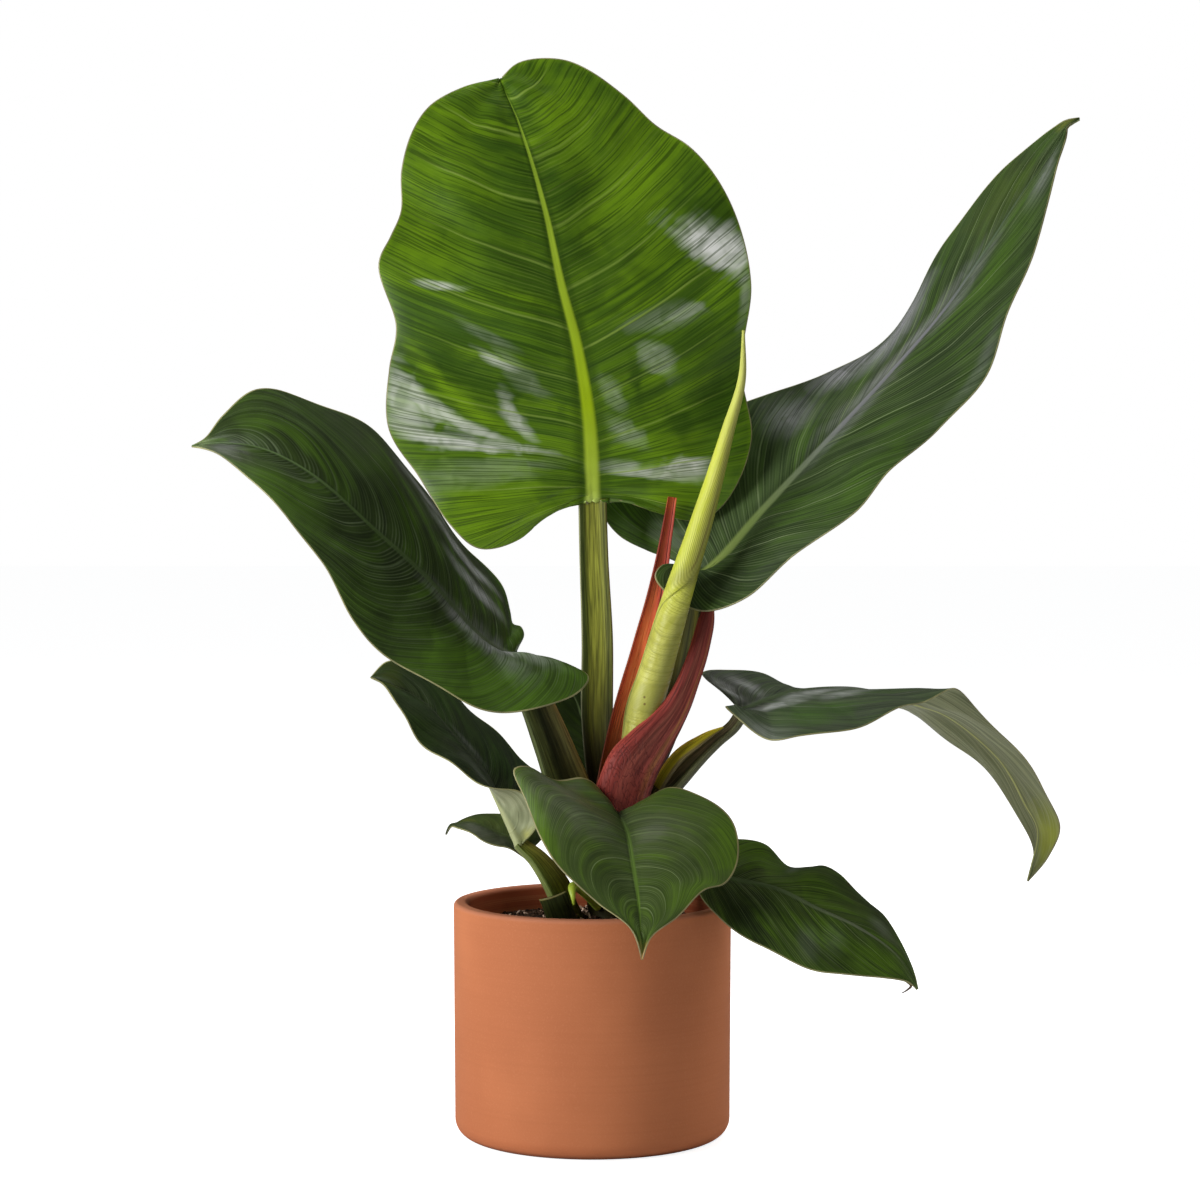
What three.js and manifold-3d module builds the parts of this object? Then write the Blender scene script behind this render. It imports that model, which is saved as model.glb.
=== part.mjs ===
// Potted imperial green philodendron, life size, in millimetres.
// +Z is up, the origin is the centre of the pot's flat underside, and the plant's front faces -Y.
import * as THREE from "three";
import { mergeVertices } from "three/addons/utils/BufferGeometryUtils.js";
import Module from "manifold-3d";

const wasm = await Module();
wasm.setup();

// Pot: a thick straight cylinder of fired clay
const POT_RADIUS = 85;
const POT_FOOT_RADIUS = 84.3;
const POT_HEIGHT = 144;
const POT_WALL = 9;
const POT_FLOOR = 10;
const POT_LIP_ROUND = 2.6;
const POT_FOOT_ROUND = 11;
const POT_SIDES = 48;

// Soil: fills the pot to a little under the lip, with a low mound round the stem
const SOIL_TOP = 129;
const SOIL_MOUND = 7;
const SOIL_CRUMB = 1.6;
const SOIL_RINGS = 7;
const SOIL_SIDES = 32;

// Stem: short and thick, it stands a little right of the pot's axis
const STEM_X = 11;
const STEM_RADIUS = 14;
const STEM_FOOT = 96;
const STEM_TOP = 204;
const STEM_SIDES = 18;

// Blades: thin, with a rib that stands out more below than above
const BLADE_HALF = 0.6;
const EDGE_HALF = 0.4;
const RIB_ABOVE = 1.0;
const RIB_BELOW = 2.6;
const RIB_END_WIDTH = 1.6;
const RIB_NARROWING = 0.85;
const FIRST_ROW = 0.022;
const LAST_ROW = 0.994;
const SIDE_COLUMNS = [0.38, 0.7, 1];
const ROW_CROWDING = 1.25;
const VEIN_SWEEP = 0.3;

// Pieces that touch stand this far apart
const GAP = 0.3;

const SHEATH_WALL = 1.5;

// Each leaf has a base where the stalk meets the rib, a tip, and three hand-set lines between them:
// the rib and the two margins, left and right as seen from above with the tip ahead.
// fan sets how closely the veins of the lobes crowd at the base, crown how far they arch.
const LEAVES = [
  {
    name: "leaf_upright", colour: 0x3f7a24, rows: 23, ribWidth: 15, fan: 1.75, crown: 0.05,
    waves: 5, waveHeight: 3.5, wavePhase: 0.4, up: [0, -1, 0.3],
    base: [0, 10, 388], tip: [-59, 96, 655],
    rib: [[-2, 13, 438], [-9, 18, 482], [-19, 26, 521], [-29, 40, 567], [-44, 64, 618]],
    left: [[-16, 9, 388], [-28, 6, 381], [-44, 1, 366], [-69, -3, 360], [-87, 1, 374], [-107, 9, 405],
      [-125, 14, 433], [-125, 22, 469], [-121, 24, 497], [-132, 32, 533], [-125, 37, 551],
      [-119, 43, 568], [-119, 54, 595], [-112, 66, 620], [-101, 75, 637], [-82, 86, 649]],
    right: [[17, 10, 389], [38, 13, 382], [66, 15, 377], [83, 17, 389], [98, 22, 426], [92, 28, 472],
      [98, 32, 522], [89, 46, 566], [62, 62, 608], [39, 71, 625], [19, 80, 643], [-18, 94, 667],
      [-46, 98, 666]],
    stalk: {
      path: [[0, 11, 390], [1, 12, 352], [3, 12, 303], [3, 13, 254], [6, 12, 212], [9, 6, 186]],
      halfWidths: [8.5, 8.8, 9.5, 9.8, 9, 7], halfDepths: [5.5, 5.5, 6, 6.5, 6, 5], face: [0, -1, 0],
    },
  },
  {
    name: "leaf_left", colour: 0x2c4a26, rows: 23, ribWidth: 9, fan: 1.7, crown: 0.1,
    waves: 5, waveHeight: 2.2, wavePhase: 1.5, up: [0.2, -0.6, 0.8],
    base: [-47, -15, 293], tip: [-244, -8, 422],
    rib: [[-63, -18, 302], [-100, -24, 343], [-131, -28, 372], [-167, -26, 404], [-197, -20, 420],
      [-225, -13, 424]],
    left: [[-37, -20, 293], [-18, -25, 292], [-2, -30, 284], [-10, -38, 273], [-37, -48, 265],
      [-70, -56, 268], [-112, -60, 292], [-143, -62, 320], [-160, -58, 355], [-179, -54, 377],
      [-204, -40, 402], [-227, -20, 418]],
    right: [[-46.8, -1, 298.8], [-43.6, 2, 302.7], [-41.9, 4, 307.5], [-43.8, 7, 312.2],
      [-48.7, 9, 313.9], [-50.6, 12, 321], [-55, 16, 334], [-66, 22, 348], [-94, 28, 379],
      [-120, 30, 417], [-151, 26, 441], [-181, 18, 453], [-207, 8, 456], [-225, -4, 441],
      [-235, -8, 427]],
    stalk: {
      path: [[-48, -14, 294], [-35.5, -10, 268], [-24.5, -8, 240], [-15.5, -5, 216], [-4, -2, 194]],
      halfWidths: [6.5, 11.2, 13, 15, 14], halfDepths: [4.5, 5, 6, 6, 5], face: [0.5, -0.8, 0.3],
    },
  },
  {
    name: "leaf_upper_right", colour: 0x2a4a2a, rows: 24, ribWidth: 10, fan: 1.6, crown: 0.06,
    waves: 6, waveHeight: 2.2, wavePhase: 0.2, up: [-0.4, -0.7, 0.4],
    base: [64, 10, 340], tip: [306, 62, 627.5],
    rib: [[80, 11, 354], [102, 15, 379], [145, 24, 425], [187, 34, 470], [220, 42, 508],
      [253, 52, 556], [266.4, 54, 576.7], [280.5, 58, 597.4], [293.2, 60, 616.2], [296.9, 60.5, 621.9]],
    left: [[52, 24, 351], [33, 36, 358], [15, 44, 368], [7, 50, 381], [17, 58, 402], [47, 68, 426],
      [80, 76, 442], [113, 80, 457], [149, 84, 467], [175, 84, 482], [203, 80, 513],
      [223, 76, 553], [255, 75, 592], [268.8, 74, 605.3], [283.3, 70, 617.8], [290.2, 66, 622.7],
      [294.6, 62, 625.4], [298.7, 60, 626.6]],
    right: [[54, 3, 349], [43, -1, 350], [38, -3, 343], [46, -4, 332], [67, -8, 322], [94, -14, 330],
      [121, -20, 357], [160, -22, 382], [179, -20, 409], [210, -14, 431], [238, -4, 465],
      [255, 8, 504], [271, 20, 543], [282.1, 32, 573.8], [288.7, 43, 598.1], [292.3, 49, 607.2],
      [295.1, 54, 613.8], [296.3, 57, 618.5], [297, 59, 621.4]],
    stalk: {
      path: [[64, 13, 341], [61, 15, 315], [56, 15, 285], [46, 13, 248], [30, 8, 214], [15, 3, 188]],
      halfWidths: [6, 7, 7.5, 8, 8, 7], halfDepths: [4.5, 5, 5.5, 6, 6, 5], face: [-0.5, -0.8, 0],
    },
  },
  {
    name: "leaf_drooping", colour: 0x2b4230, rows: 24, ribWidth: 8, fan: 1.6, crown: 0.02,
    waves: 5, waveHeight: 2.2, wavePhase: 2.4, up: [0.3, 0, 1],
    base: [91, 0, 260], tip: [283, 128, 137],
    rib: [[109, 10, 267], [128, 22, 271], [161, 45, 271], [186, 67, 265], [206, 84, 258],
      [223, 100, 251.6], [237, 110, 243], [250.6, 116, 232], [264.3, 121, 218.6],
      [272.5, 124, 206.5], [280.8, 127, 190.5], [290.4, 130, 171.8]],
    left: [[80, 16, 271], [68, 32, 280.9], [70.6, 36, 282.1], [85.9, 44, 281.3], [103.1, 52, 281.3],
      [110.2, 56, 279.8], [119.2, 60, 274.5], [125.2, 64, 269.1], [138, 73, 266], [165, 92, 257],
      [201, 115, 250], [229, 127, 234], [256, 133, 210], [278, 136, 181], [288, 134, 157]],
    right: [[81, -8, 264], [88, -15, 258], [107, -27, 245], [125, -32, 247], [154, -25, 252],
      [178, -2, 257], [200, 28, 263], [220, 54, 268], [230.6, 70, 266.5], [243, 79, 256],
      [268, 90, 233], [289, 102, 202], [303, 114, 176], [296, 122, 155]],
    stalk: {
      path: [[92, 1, 260], [86, 0, 251], [75, -1, 242], [64, -2, 232], [54, -2, 222], [38, -2, 205],
        [18, 0, 184]],
      halfWidths: [4.5, 4.8, 6.5, 9.5, 11, 10.5, 8], halfDepths: [4, 4, 4.5, 5, 5.5, 5.5, 5],
      face: [-0.6, -0.5, 0.6],
    },
  },
  {
    name: "leaf_mid_left", colour: 0x2d4a26, rows: 18, ribWidth: 8, fan: 1.5, crown: 0.08,
    waves: 4, waveHeight: 1.8, wavePhase: 1.1, up: [0.2, -0.2, 1],
    base: [-44, -22, 180], tip: [-137, 14, 280],
    rib: [[-51, -20, 195], [-58, -17, 209], [-66, -12, 224], [-84, -5, 245], [-106, 4, 267]],
    left: [[-35, -28, 190], [-30, -34, 202], [-41, -40, 213], [-58, -42, 218], [-71, -39, 223],
      [-89, -33, 233], [-104, -26, 245], [-115, -16, 259], [-127, 0, 276]],
    right: [[-35, 0, 189], [-29, 18, 204], [-34, 28, 219], [-47, 33, 232], [-69, 36, 251],
      [-89, 34, 273], [-110, 28, 286], [-126, 20, 290]],
    stalk: {
      path: [[-44.4, -22, 182], [-39.6, -23, 178], [-34.1, -24, 173.3], [-26.8, -24, 164.1],
        [-22, -22, 156], [-18.4, -18, 147.4], [-14.9, -10, 134.6], [-9, -6, 118]],
      halfWidths: [4.5, 6.5, 9, 11, 11.5, 11.5, 10.5], halfDepths: [4, 4.5, 5, 5.5, 6, 6, 5],
      face: [0.6, -0.6, 0.5],
    },
  },
  {
    name: "leaf_low_left", colour: 0x37552c, rows: 15, ribWidth: 5, fan: 1.4, crown: 0.1,
    waves: 3, waveHeight: 0.4, wavePhase: 0.6, up: [0.2, -0.3, 1],
    base: [-39, 18, 172], tip: [-90.5, 18, 182],
    rib: [[-49.1, 17, 178.7], [-60.3, 20, 183.6], [-68.4, 22, 187.3], [-76.6, 25, 189], [-84.6, 23, 188],
      [-87.7, 20, 187.3]],
    left: [[-33, 10, 166], [-40, 3, 169], [-51.6, -2, 176.2], [-59.6, -3, 178.4], [-67.6, 0, 181],
      [-75.9, 8, 184.9], [-82.9, 14, 186.7], [-87.4, 18, 187]],
    right: [[-31, 34, 180], [-40, 44, 188], [-55.5, 47, 191.9], [-69.3, 46, 192], [-77.3, 41, 190.5],
      [-84.9, 30, 188.3], [-87.9, 22, 187.4]],
    stalk: {
      path: [[-39, 19, 172], [-30, 17, 159], [-18, 12, 143], [-6, 6, 122]],
      halfWidths: [3.5, 4.5, 5, 5], halfDepths: [3, 3.5, 4, 4], face: [0.6, 0, 0.8],
    },
  },
  {
    name: "leaf_front", colour: 0x38592b, rows: 18, ribWidth: 6, fan: 1.5, crown: 0.1,
    waves: 3, waveHeight: 1.6, wavePhase: 0.9, up: [0, -0.6, 0.8],
    base: [15, -38, 202], tip: [29, -120, 126],
    rib: [[20, -50, 193], [24, -72, 175], [27, -92, 157], [28, -108, 141]],
    left: [[22, -35, 204], [31, -30, 209], [48, -26, 217], [67, -32, 211], [84, -47, 197],
      [87, -64, 180], [78, -82, 165], [66, -89, 162], [50, -102, 149], [35, -112, 139]],
    right: [[9, -33, 206], [3, -29, 217], [-6, -32, 223], [-22, -40, 223], [-39, -50, 231],
      [-47, -56, 229], [-40, -62, 213], [-30, -76, 192], [-19, -90, 175], [2, -103, 158],
      [22, -113, 144]],
    stalk: {
      path: [[15, -37, 201], [14, -33, 188], [12, -25, 172], [11, -12, 156]],
      halfWidths: [4, 5, 5.5, 5.5], halfDepths: [3.5, 4, 4.5, 4.5], face: [0, 1, 0.5],
    },
  },
  {
    name: "leaf_low_right", colour: 0x35552a, rows: 18, ribWidth: 6, fan: 1.5, crown: 0.08,
    waves: 4, waveHeight: 0.6, wavePhase: 2.2, up: [0.1, -0.3, 1],
    base: [70, -34, 168], tip: [194, -62, 99],
    rib: [[83, -38, 162], [110, -44, 157], [134, -49, 146], [159, -54, 135], [180, -58, 120]],
    left: [[64, -22, 174], [69, -10, 181], [87, -5, 182], [106, -3, 179], [120.3, -4, 165.4],
      [132.9, -8, 165.2], [141.4, -8, 166], [151.1, -9, 161.5], [161.8, -13, 151], [168.8, -17, 144.2],
      [176.7, -23, 137.7], [186.4, -37, 123.3], [192.9, -55, 106.2]],
    right: [[62, -38, 163], [65, -48, 153], [76, -64, 142], [90, -74, 133], [110.9, -77, 121.8],
      [131.1, -80, 113.9], [146.3, -78, 110.9], [173.5, -70, 107.6], [188.1, -64, 103.6]],
    stalk: {
      path: [[70, -34, 168], [55, -29, 161], [37, -20, 154], [20, -8, 148]],
      halfWidths: [4, 5, 5.5, 5.5], halfDepths: [3.5, 4, 4.5, 4.5], face: [0, 0, 1],
    },
  },
  {
    name: "leaf_back", colour: 0x2a4726, rows: 16, ribWidth: 6, fan: 1.5, crown: 0.1,
    waves: 4, waveHeight: 2, wavePhase: 0.3, up: [0, -0.3, 1],
    base: [6, 22, 213], tip: [-20, 196, 266],
    rib: [[3, 50, 226], [-4, 95, 240], [-11, 145, 254]],
    left: [[-1, 15, 212], [-12, 15, 213], [-22, 28, 220], [-29, 58, 231], [-33, 95, 243],
      [-31, 135, 254], [-25, 172, 262]],
    right: [[13, 16, 212], [22, 18, 212], [28, 32, 218], [29, 60, 228], [23, 95, 239],
      [10, 135, 249], [-6, 172, 259]],
    stalk: {
      path: [[6, 21, 212], [8, 15, 200], [10, 5, 182]],
      halfWidths: [4, 5, 5], halfDepths: [3.5, 4, 4], face: [0, -1, 0.3],
    },
  },
];

const STALK_COLOUR = 0x6f7a35;

// The rolled new leaf, tip first: its turn of the roll shows as a step along its length
const SPEAR = {
  path: [[91, -22, 492], [90, -21, 462], [82, -19, 432], [72, -17, 396], [63, -15, 366],
    [54, -14, 338], [44, -13, 305], [37, -13, 281], [31, -12, 262], [28, -10, 240], [22, -6, 205]],
  radii: [0.8, 2.5, 4, 5.5, 7, 8.2, 9, 10, 11, 10.6, 8],
  seamDegrees: [140, 145, 148, 150, 145, 90, 20, 5, 0, 0, 0],
  seamStep: 0.16,
};

// Sheaths: half-open troughs that wrapped the new leaf
const BACK_SHEATH = {
  path: [[49, 4, 391], [46, 6, 371], [42, 9, 346], [37, 11, 320], [30, 10, 291], [23, 8, 266],
    [17, 5, 242], [11, 1, 214], [8, -1, 197]],
  halfWidths: [3, 4.3, 6, 8, 9, 9.5, 9.5, 9], halfDepths: [2.6, 3, 3.4, 4, 4.4, 4.8, 5, 5],
  face: [0.3, -1, 0.1], spread: 1.45,
};
const FRONT_SHEATH = {
  path: [[73, 8, 333], [69, 0, 314], [62, -9, 290], [50, -15, 263], [31.8, -18.8, 239.2],
    [24.9, -20, 230], [20.2, -20, 219.6], [12.5, -17, 192]],
  halfWidths: [1.5, 6, 6.8, 7.4, 9.5, 13.5, 17.5, 17.8, 15],
  halfDepths: [1.6, 3.6, 4.6, 5.4, 7, 9, 10.8, 11, 10],
  face: [-0.35, 1, 0], spread: 1.5,
};

// What shows at the soil in front of the stem
const STUB = {
  path: [[-23.8, -46, 154.1], [-21.7, -44, 148.7], [-18.8, -38, 140], [-16, -32, 128]],
  halfWidths: [9, 9.5, 10], halfDepths: [3, 4, 4], face: [0, 1, 0.3], spread: 1.35,
};
const SPROUT = {
  path: [[-10.9, -50, 148.3], [-11.5, -50, 153.2], [-12.1, -46, 158], [-10.4, -38, 158.1],
    [-4.4, -26, 152.2], [4, -14, 142]],
  radii: [0.6, 2.4, 3, 3, 3, 3],
};

const ROUND_SECTION_SIDES = 12;
const STALK_STEPS = 9;
const SPEAR_STEPS = 18;
const SHEATH_STEPS = 12;
const TROUGH_ARC_STEPS = 6;

// A leaf stalk is round below, with a shallow channel between two low wings above
const STALK_SECTION = [[1, 0.05], [0.97, 0.5], [0.72, 0.46], [0.35, 0.28], [-0.35, 0.28], [-0.72, 0.46],
  [-0.97, 0.5], [-1, 0.05], [-0.78, -0.62], [-0.3, -0.95], [0.3, -0.95], [0.78, -0.62]];

const toVector = ([x, y, z]) => new THREE.Vector3(x, y, z);

function curveThrough(points) {
  return new THREE.CatmullRomCurve3(points.map(toVector), false, "centripetal");
}

// Reads a list of values spread evenly over 0..1
function valueAlong(values, t) {
  const place = t * (values.length - 1);
  const index = Math.min(Math.floor(place), values.length - 2);
  return THREE.MathUtils.lerp(values[index], values[index + 1], place - index);
}

function indexedGeometry(points, triangles) {
  const geometry = new THREE.BufferGeometry();
  geometry.setAttribute("position", new THREE.Float32BufferAttribute(points.flatMap((p) => p.toArray()), 3));
  geometry.setIndex(triangles);
  return geometry;
}

// -1 at the first of a row of things, 1 at the last and 0 between
function endSign(index, last) {
  return Number(index === last) - Number(index === 0);
}

// The middle surface of a blade: rows of veins that run from the rib out to both margins
function bladeRows(leaf, grow) {
  const rib = curveThrough([leaf.base, ...leaf.rib, leaf.tip]);
  const margins = [leaf.left, leaf.right].map((side) => curveThrough([leaf.base, ...side, leaf.tip]));
  const up = toVector(leaf.up).normalize();
  const rows = [];
  for (let i = 0; i < leaf.rows; i++) {
    const s = THREE.MathUtils.lerp(FIRST_ROW, LAST_ROW, Math.pow(i / (leaf.rows - 1), ROW_CROWDING));
    const along = Math.pow(s, leaf.fan);
    const middle = rib.getPointAt(along);
    const forward = rib.getTangentAt(along);
    const ends = margins.map((margin) => margin.getPointAt(s));
    const normal = ends[1].clone().sub(ends[0]).cross(forward).normalize();
    normal.lerp(up, 1 - s).normalize();
    const ribHalf = THREE.MathUtils.lerp(leaf.ribWidth, RIB_END_WIDTH, Math.pow(along, RIB_NARROWING)) / 2;
    const sides = ends.map((end) => veinPoints(leaf, middle, end, forward, normal, ribHalf, s, grow));
    const row = [...sides[0].reverse(), middle, ...sides[1]];
    rows.push(row.map((point) => point.addScaledVector(forward, grow * endSign(i, leaf.rows - 1))));
  }
  return rows;
}

// One vein: it leaves the rib steeply, bends towards the tip and rides the wave of the margin
function veinPoints(leaf, middle, end, forward, normal, ribHalf, s, grow) {
  const reach = end.clone().sub(middle);
  const length = reach.length();
  const control = middle.clone().addScaledVector(reach, 0.5);
  control.addScaledVector(forward, -VEIN_SWEEP * reach.dot(forward));
  control.addScaledVector(normal, leaf.crown * length);
  const swing = Math.sin(2 * Math.PI * leaf.waves * s + leaf.wavePhase);
  const wave = leaf.waveHeight * swing * Math.sin(Math.PI * s);
  const vein = new THREE.QuadraticBezierCurve3(middle, control, end);
  const ribEdge = Math.min(ribHalf / length, 0.3);
  const places = [ribEdge, ...SIDE_COLUMNS];
  return places.map((u) => {
    const point = vein.getPoint(u).addScaledVector(normal, wave * u * u);
    return u === 1 ? point.addScaledVector(reach, grow / length) : point;
  });
}

function gridNormal(rows, i, j) {
  const before = rows[Math.max(i - 1, 0)][j];
  const after = rows[Math.min(i + 1, rows.length - 1)][j];
  const left = rows[i][Math.max(j - 1, 0)];
  const right = rows[i][Math.min(j + 1, rows[i].length - 1)];
  return right.clone().sub(left).cross(after.clone().sub(before)).normalize();
}

// A closed blade: the middle surface moved up and down by half its thickness, and its edge closed
function bladeGeometry(leaf, grow = 0) {
  const rows = bladeRows(leaf, grow);
  const width = rows[0].length;
  const ribColumn = (width - 1) / 2;
  const above = [];
  const below = [];
  rows.forEach((row, i) => {
    const taper = 1 - i / (rows.length - 1);
    row.forEach((point, j) => {
      const normal = gridNormal(rows, i, j);
      const half = (j === 0 || j === width - 1 ? EDGE_HALF : BLADE_HALF) + grow;
      const onRib = j === ribColumn ? 1 : 0;
      above.push(point.clone().addScaledVector(normal, half + onRib * RIB_ABOVE * taper));
      below.push(point.clone().addScaledVector(normal, -half - onRib * RIB_BELOW * taper));
    });
  });
  const count = above.length;
  const triangles = [];
  const addBothFaces = (a, b, c) => triangles.push(a, b, c, count + a, count + c, count + b);
  for (let i = 0; i + 1 < rows.length; i++) {
    for (let j = 0; j + 1 < width; j++) {
      const here = i * width + j;
      const ahead = here + width;
      if (j < ribColumn) {
        addBothFaces(here, here + 1, ahead + 1);
        addBothFaces(here, ahead + 1, ahead);
      } else {
        addBothFaces(here, here + 1, ahead);
        addBothFaces(here + 1, ahead + 1, ahead);
      }
    }
  }
  const rim = [];
  for (let j = 0; j + 1 < width; j++) rim.push(j);
  for (let i = 0; i + 1 < rows.length; i++) rim.push(i * width + width - 1);
  for (let j = width - 1; j > 0; j--) rim.push((rows.length - 1) * width + j);
  for (let i = rows.length - 1; i > 0; i--) rim.push(i * width);
  rim.forEach((from, k) => {
    const to = rim[(k + 1) % rim.length];
    triangles.push(to, from, count + from, to, count + from, count + to);
  });
  return indexedGeometry([...above, ...below], triangles);
}

// Sweeps a section along a path. sectionAt gives [across, up] pairs in mm, anticlockwise seen from the end.
function sweepGeometry(path, face, steps, grow, sectionAt) {
  const curve = curveThrough(path);
  const faceVector = toVector(face).normalize();
  const points = [];
  let sides = 0;
  for (let i = 0; i <= steps; i++) {
    const t = i / steps;
    const forward = curve.getTangentAt(t);
    const centre = curve.getPointAt(t).addScaledVector(forward, grow * endSign(i, steps));
    const across = faceVector.clone().cross(forward).normalize();
    const up = forward.clone().cross(across).normalize();
    const section = sectionAt(t);
    sides = section.length;
    for (const [x, y] of section) {
      points.push(centre.clone().addScaledVector(across, x).addScaledVector(up, y));
    }
  }
  const triangles = [];
  for (let i = 0; i < steps; i++) {
    for (let k = 0; k < sides; k++) {
      const here = i * sides + k;
      const next = i * sides + (k + 1) % sides;
      triangles.push(here, next, next + sides, here, next + sides, here + sides);
    }
  }
  const section = sectionAt(0).map(([x, y]) => new THREE.Vector2(x, y));
  const last = steps * sides;
  THREE.ShapeUtils.triangulateShape(section, []).forEach(([a, b, c]) => {
    triangles.push(c, b, a, last + a, last + b, last + c);
  });
  return indexedGeometry(points, triangles);
}

function stalkGeometry({ path, halfWidths, halfDepths, face }, grow = 0) {
  return sweepGeometry(path, face, STALK_STEPS, grow, (t) => {
    const width = valueAlong(halfWidths, t) + grow;
    const depth = valueAlong(halfDepths, t) + grow;
    return STALK_SECTION.map(([x, y]) => [x * width, y * depth]);
  });
}

// A trough is the far side of an ellipse with a thin wall, open towards its face
function troughGeometry({ path, halfWidths, halfDepths, face, spread }, grow = 0) {
  return sweepGeometry(path, face, SHEATH_STEPS, grow, (t) => {
    const wall = SHEATH_WALL * Math.min(1, 0.45 + 4 * t) + 2 * grow;
    const outer = [valueAlong(halfWidths, t) + grow, valueAlong(halfDepths, t) + grow];
    const arc = (size, angle) => [size[0] * Math.sin(angle), -size[1] * Math.cos(angle)];
    const inner = outer.map((size) => Math.max(size - wall, size * 0.35));
    const section = [];
    for (let k = 0; k <= TROUGH_ARC_STEPS; k++) {
      section.push(arc(outer, THREE.MathUtils.lerp(-spread, spread, k / TROUGH_ARC_STEPS)));
    }
    for (let k = TROUGH_ARC_STEPS; k >= 0; k--) {
      section.push(arc(inner, THREE.MathUtils.lerp(-spread, spread, k / TROUGH_ARC_STEPS)));
    }
    return section;
  });
}

// The roll's radius grows once round, so the seam shows as a step that turns as it climbs
function spearGeometry(grow = 0) {
  return sweepGeometry(SPEAR.path, [0, -1, 0], SPEAR_STEPS, grow, (t) => {
    const radius = valueAlong(SPEAR.radii, t);
    const turn = THREE.MathUtils.degToRad(valueAlong(SPEAR.seamDegrees, t));
    return Array.from({ length: ROUND_SECTION_SIDES + 1 }, (_, k) => {
      const round = k / (ROUND_SECTION_SIDES + 0.4);
      const angle = turn + 2 * Math.PI * round;
      const size = radius * (1 + SPEAR.seamStep * (round - 0.5)) + grow;
      return [size * Math.cos(angle), size * Math.sin(angle)];
    });
  });
}

function sproutGeometry(grow = 0) {
  return sweepGeometry(SPROUT.path, [0, -1, 0.4], STALK_STEPS, grow, (t) => {
    const radius = valueAlong(SPROUT.radii, t) + grow;
    return Array.from({ length: 8 }, (_, k) => {
      const angle = 2 * Math.PI * k / 8;
      return [radius * Math.cos(angle), 0.7 * radius * Math.sin(angle)];
    });
  });
}

// Points on a quarter of a circle, from one angle to another, for a turned profile
function arcPoints(centreRadius, centreHeight, radius, from, to, steps) {
  return Array.from({ length: steps + 1 }, (_, k) => {
    const angle = THREE.MathUtils.lerp(from, to, k / steps);
    const across = centreRadius + radius * Math.cos(angle);
    return new THREE.Vector2(across, centreHeight + radius * Math.sin(angle));
  });
}

function turnedGeometry(profile, sides) {
  const lathe = new THREE.LatheGeometry(profile, sides);
  lathe.rotateX(Math.PI / 2);
  lathe.deleteAttribute("normal");
  lathe.deleteAttribute("uv");
  return mergeVertices(lathe, 1e-4);
}

function potGeometry() {
  const inner = POT_RADIUS - POT_WALL;
  const quarter = Math.PI / 2;
  const lipHeight = POT_HEIGHT - POT_LIP_ROUND;
  const profile = [
    new THREE.Vector2(0, 0),
    ...arcPoints(POT_FOOT_RADIUS - POT_FOOT_ROUND, POT_FOOT_ROUND, POT_FOOT_ROUND, -quarter, 0, 4),
    ...arcPoints(POT_RADIUS - POT_LIP_ROUND, lipHeight, POT_LIP_ROUND, 0, quarter, 3),
    ...arcPoints(inner + POT_LIP_ROUND, lipHeight, POT_LIP_ROUND, quarter, 2 * quarter, 3),
    ...arcPoints(inner - POT_WALL, POT_FLOOR + POT_WALL, POT_WALL, 0, -quarter, 3),
    new THREE.Vector2(0, POT_FLOOR),
  ];
  return turnedGeometry(profile, POT_SIDES);
}

// The soil's surface: a low mound with crumbs, and smooth where it meets the wall
function soilHeight(x, y, share) {
  const mound = SOIL_MOUND * Math.exp(-((x - STEM_X) ** 2 + y ** 2) / 1100);
  const crumbs = Math.sin(0.43 * x + 1.3 * Math.sin(0.31 * y)) * Math.cos(0.47 * y + Math.sin(0.29 * x));
  return SOIL_TOP + mound + SOIL_CRUMB * crumbs * Math.min(1, 3 * (1 - share));
}

function soilGeometry() {
  const radius = POT_RADIUS - POT_WALL - GAP;
  const foot = POT_FLOOR + GAP;
  const round = POT_WALL;
  const profile = [
    new THREE.Vector2(0, foot),
    ...arcPoints(radius - round, foot + round, round, -Math.PI / 2, 0, 3),
  ];
  for (let ring = SOIL_RINGS; ring >= 0; ring--) {
    profile.push(new THREE.Vector2(radius * ring / SOIL_RINGS, SOIL_TOP));
  }
  const geometry = turnedGeometry(profile, SOIL_SIDES);
  const position = geometry.attributes.position;
  for (let i = 0; i < position.count; i++) {
    const [x, y, z] = [position.getX(i), position.getY(i), position.getZ(i)];
    if (z === SOIL_TOP) position.setZ(i, soilHeight(x, y, Math.hypot(x, y) / radius));
  }
  return geometry;
}

function stemGeometry(grow = 0) {
  const radius = STEM_RADIUS + grow;
  const quarter = Math.PI / 2;
  const profile = [
    new THREE.Vector2(0, STEM_FOOT - grow),
    new THREE.Vector2(0.8 * radius, STEM_FOOT - grow),
    new THREE.Vector2(radius, STEM_FOOT + 0.4 * STEM_RADIUS),
    ...arcPoints(0, STEM_TOP - STEM_RADIUS, radius, 0, 0.8 * quarter, 3),
    new THREE.Vector2(0, STEM_TOP + grow),
  ];
  return turnedGeometry(profile, STEM_SIDES).translate(STEM_X, 0, 0);
}

function toManifold(geometry) {
  return new wasm.Manifold(new wasm.Mesh({
    numProp: 3,
    vertProperties: new Float32Array(geometry.attributes.position.array),
    triVerts: new Uint32Array(geometry.index.array),
  }));
}

function fromManifold(solid) {
  const mesh = solid.getMesh();
  const geometry = new THREE.BufferGeometry();
  geometry.setAttribute("position", new THREE.BufferAttribute(mesh.vertProperties, 3));
  geometry.setIndex(new THREE.BufferAttribute(mesh.triVerts, 1));
  return geometry;
}

function largestBody(solid) {
  return solid.decompose().reduce((best, body) => (body.volume() > best.volume() ? body : best));
}

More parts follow.
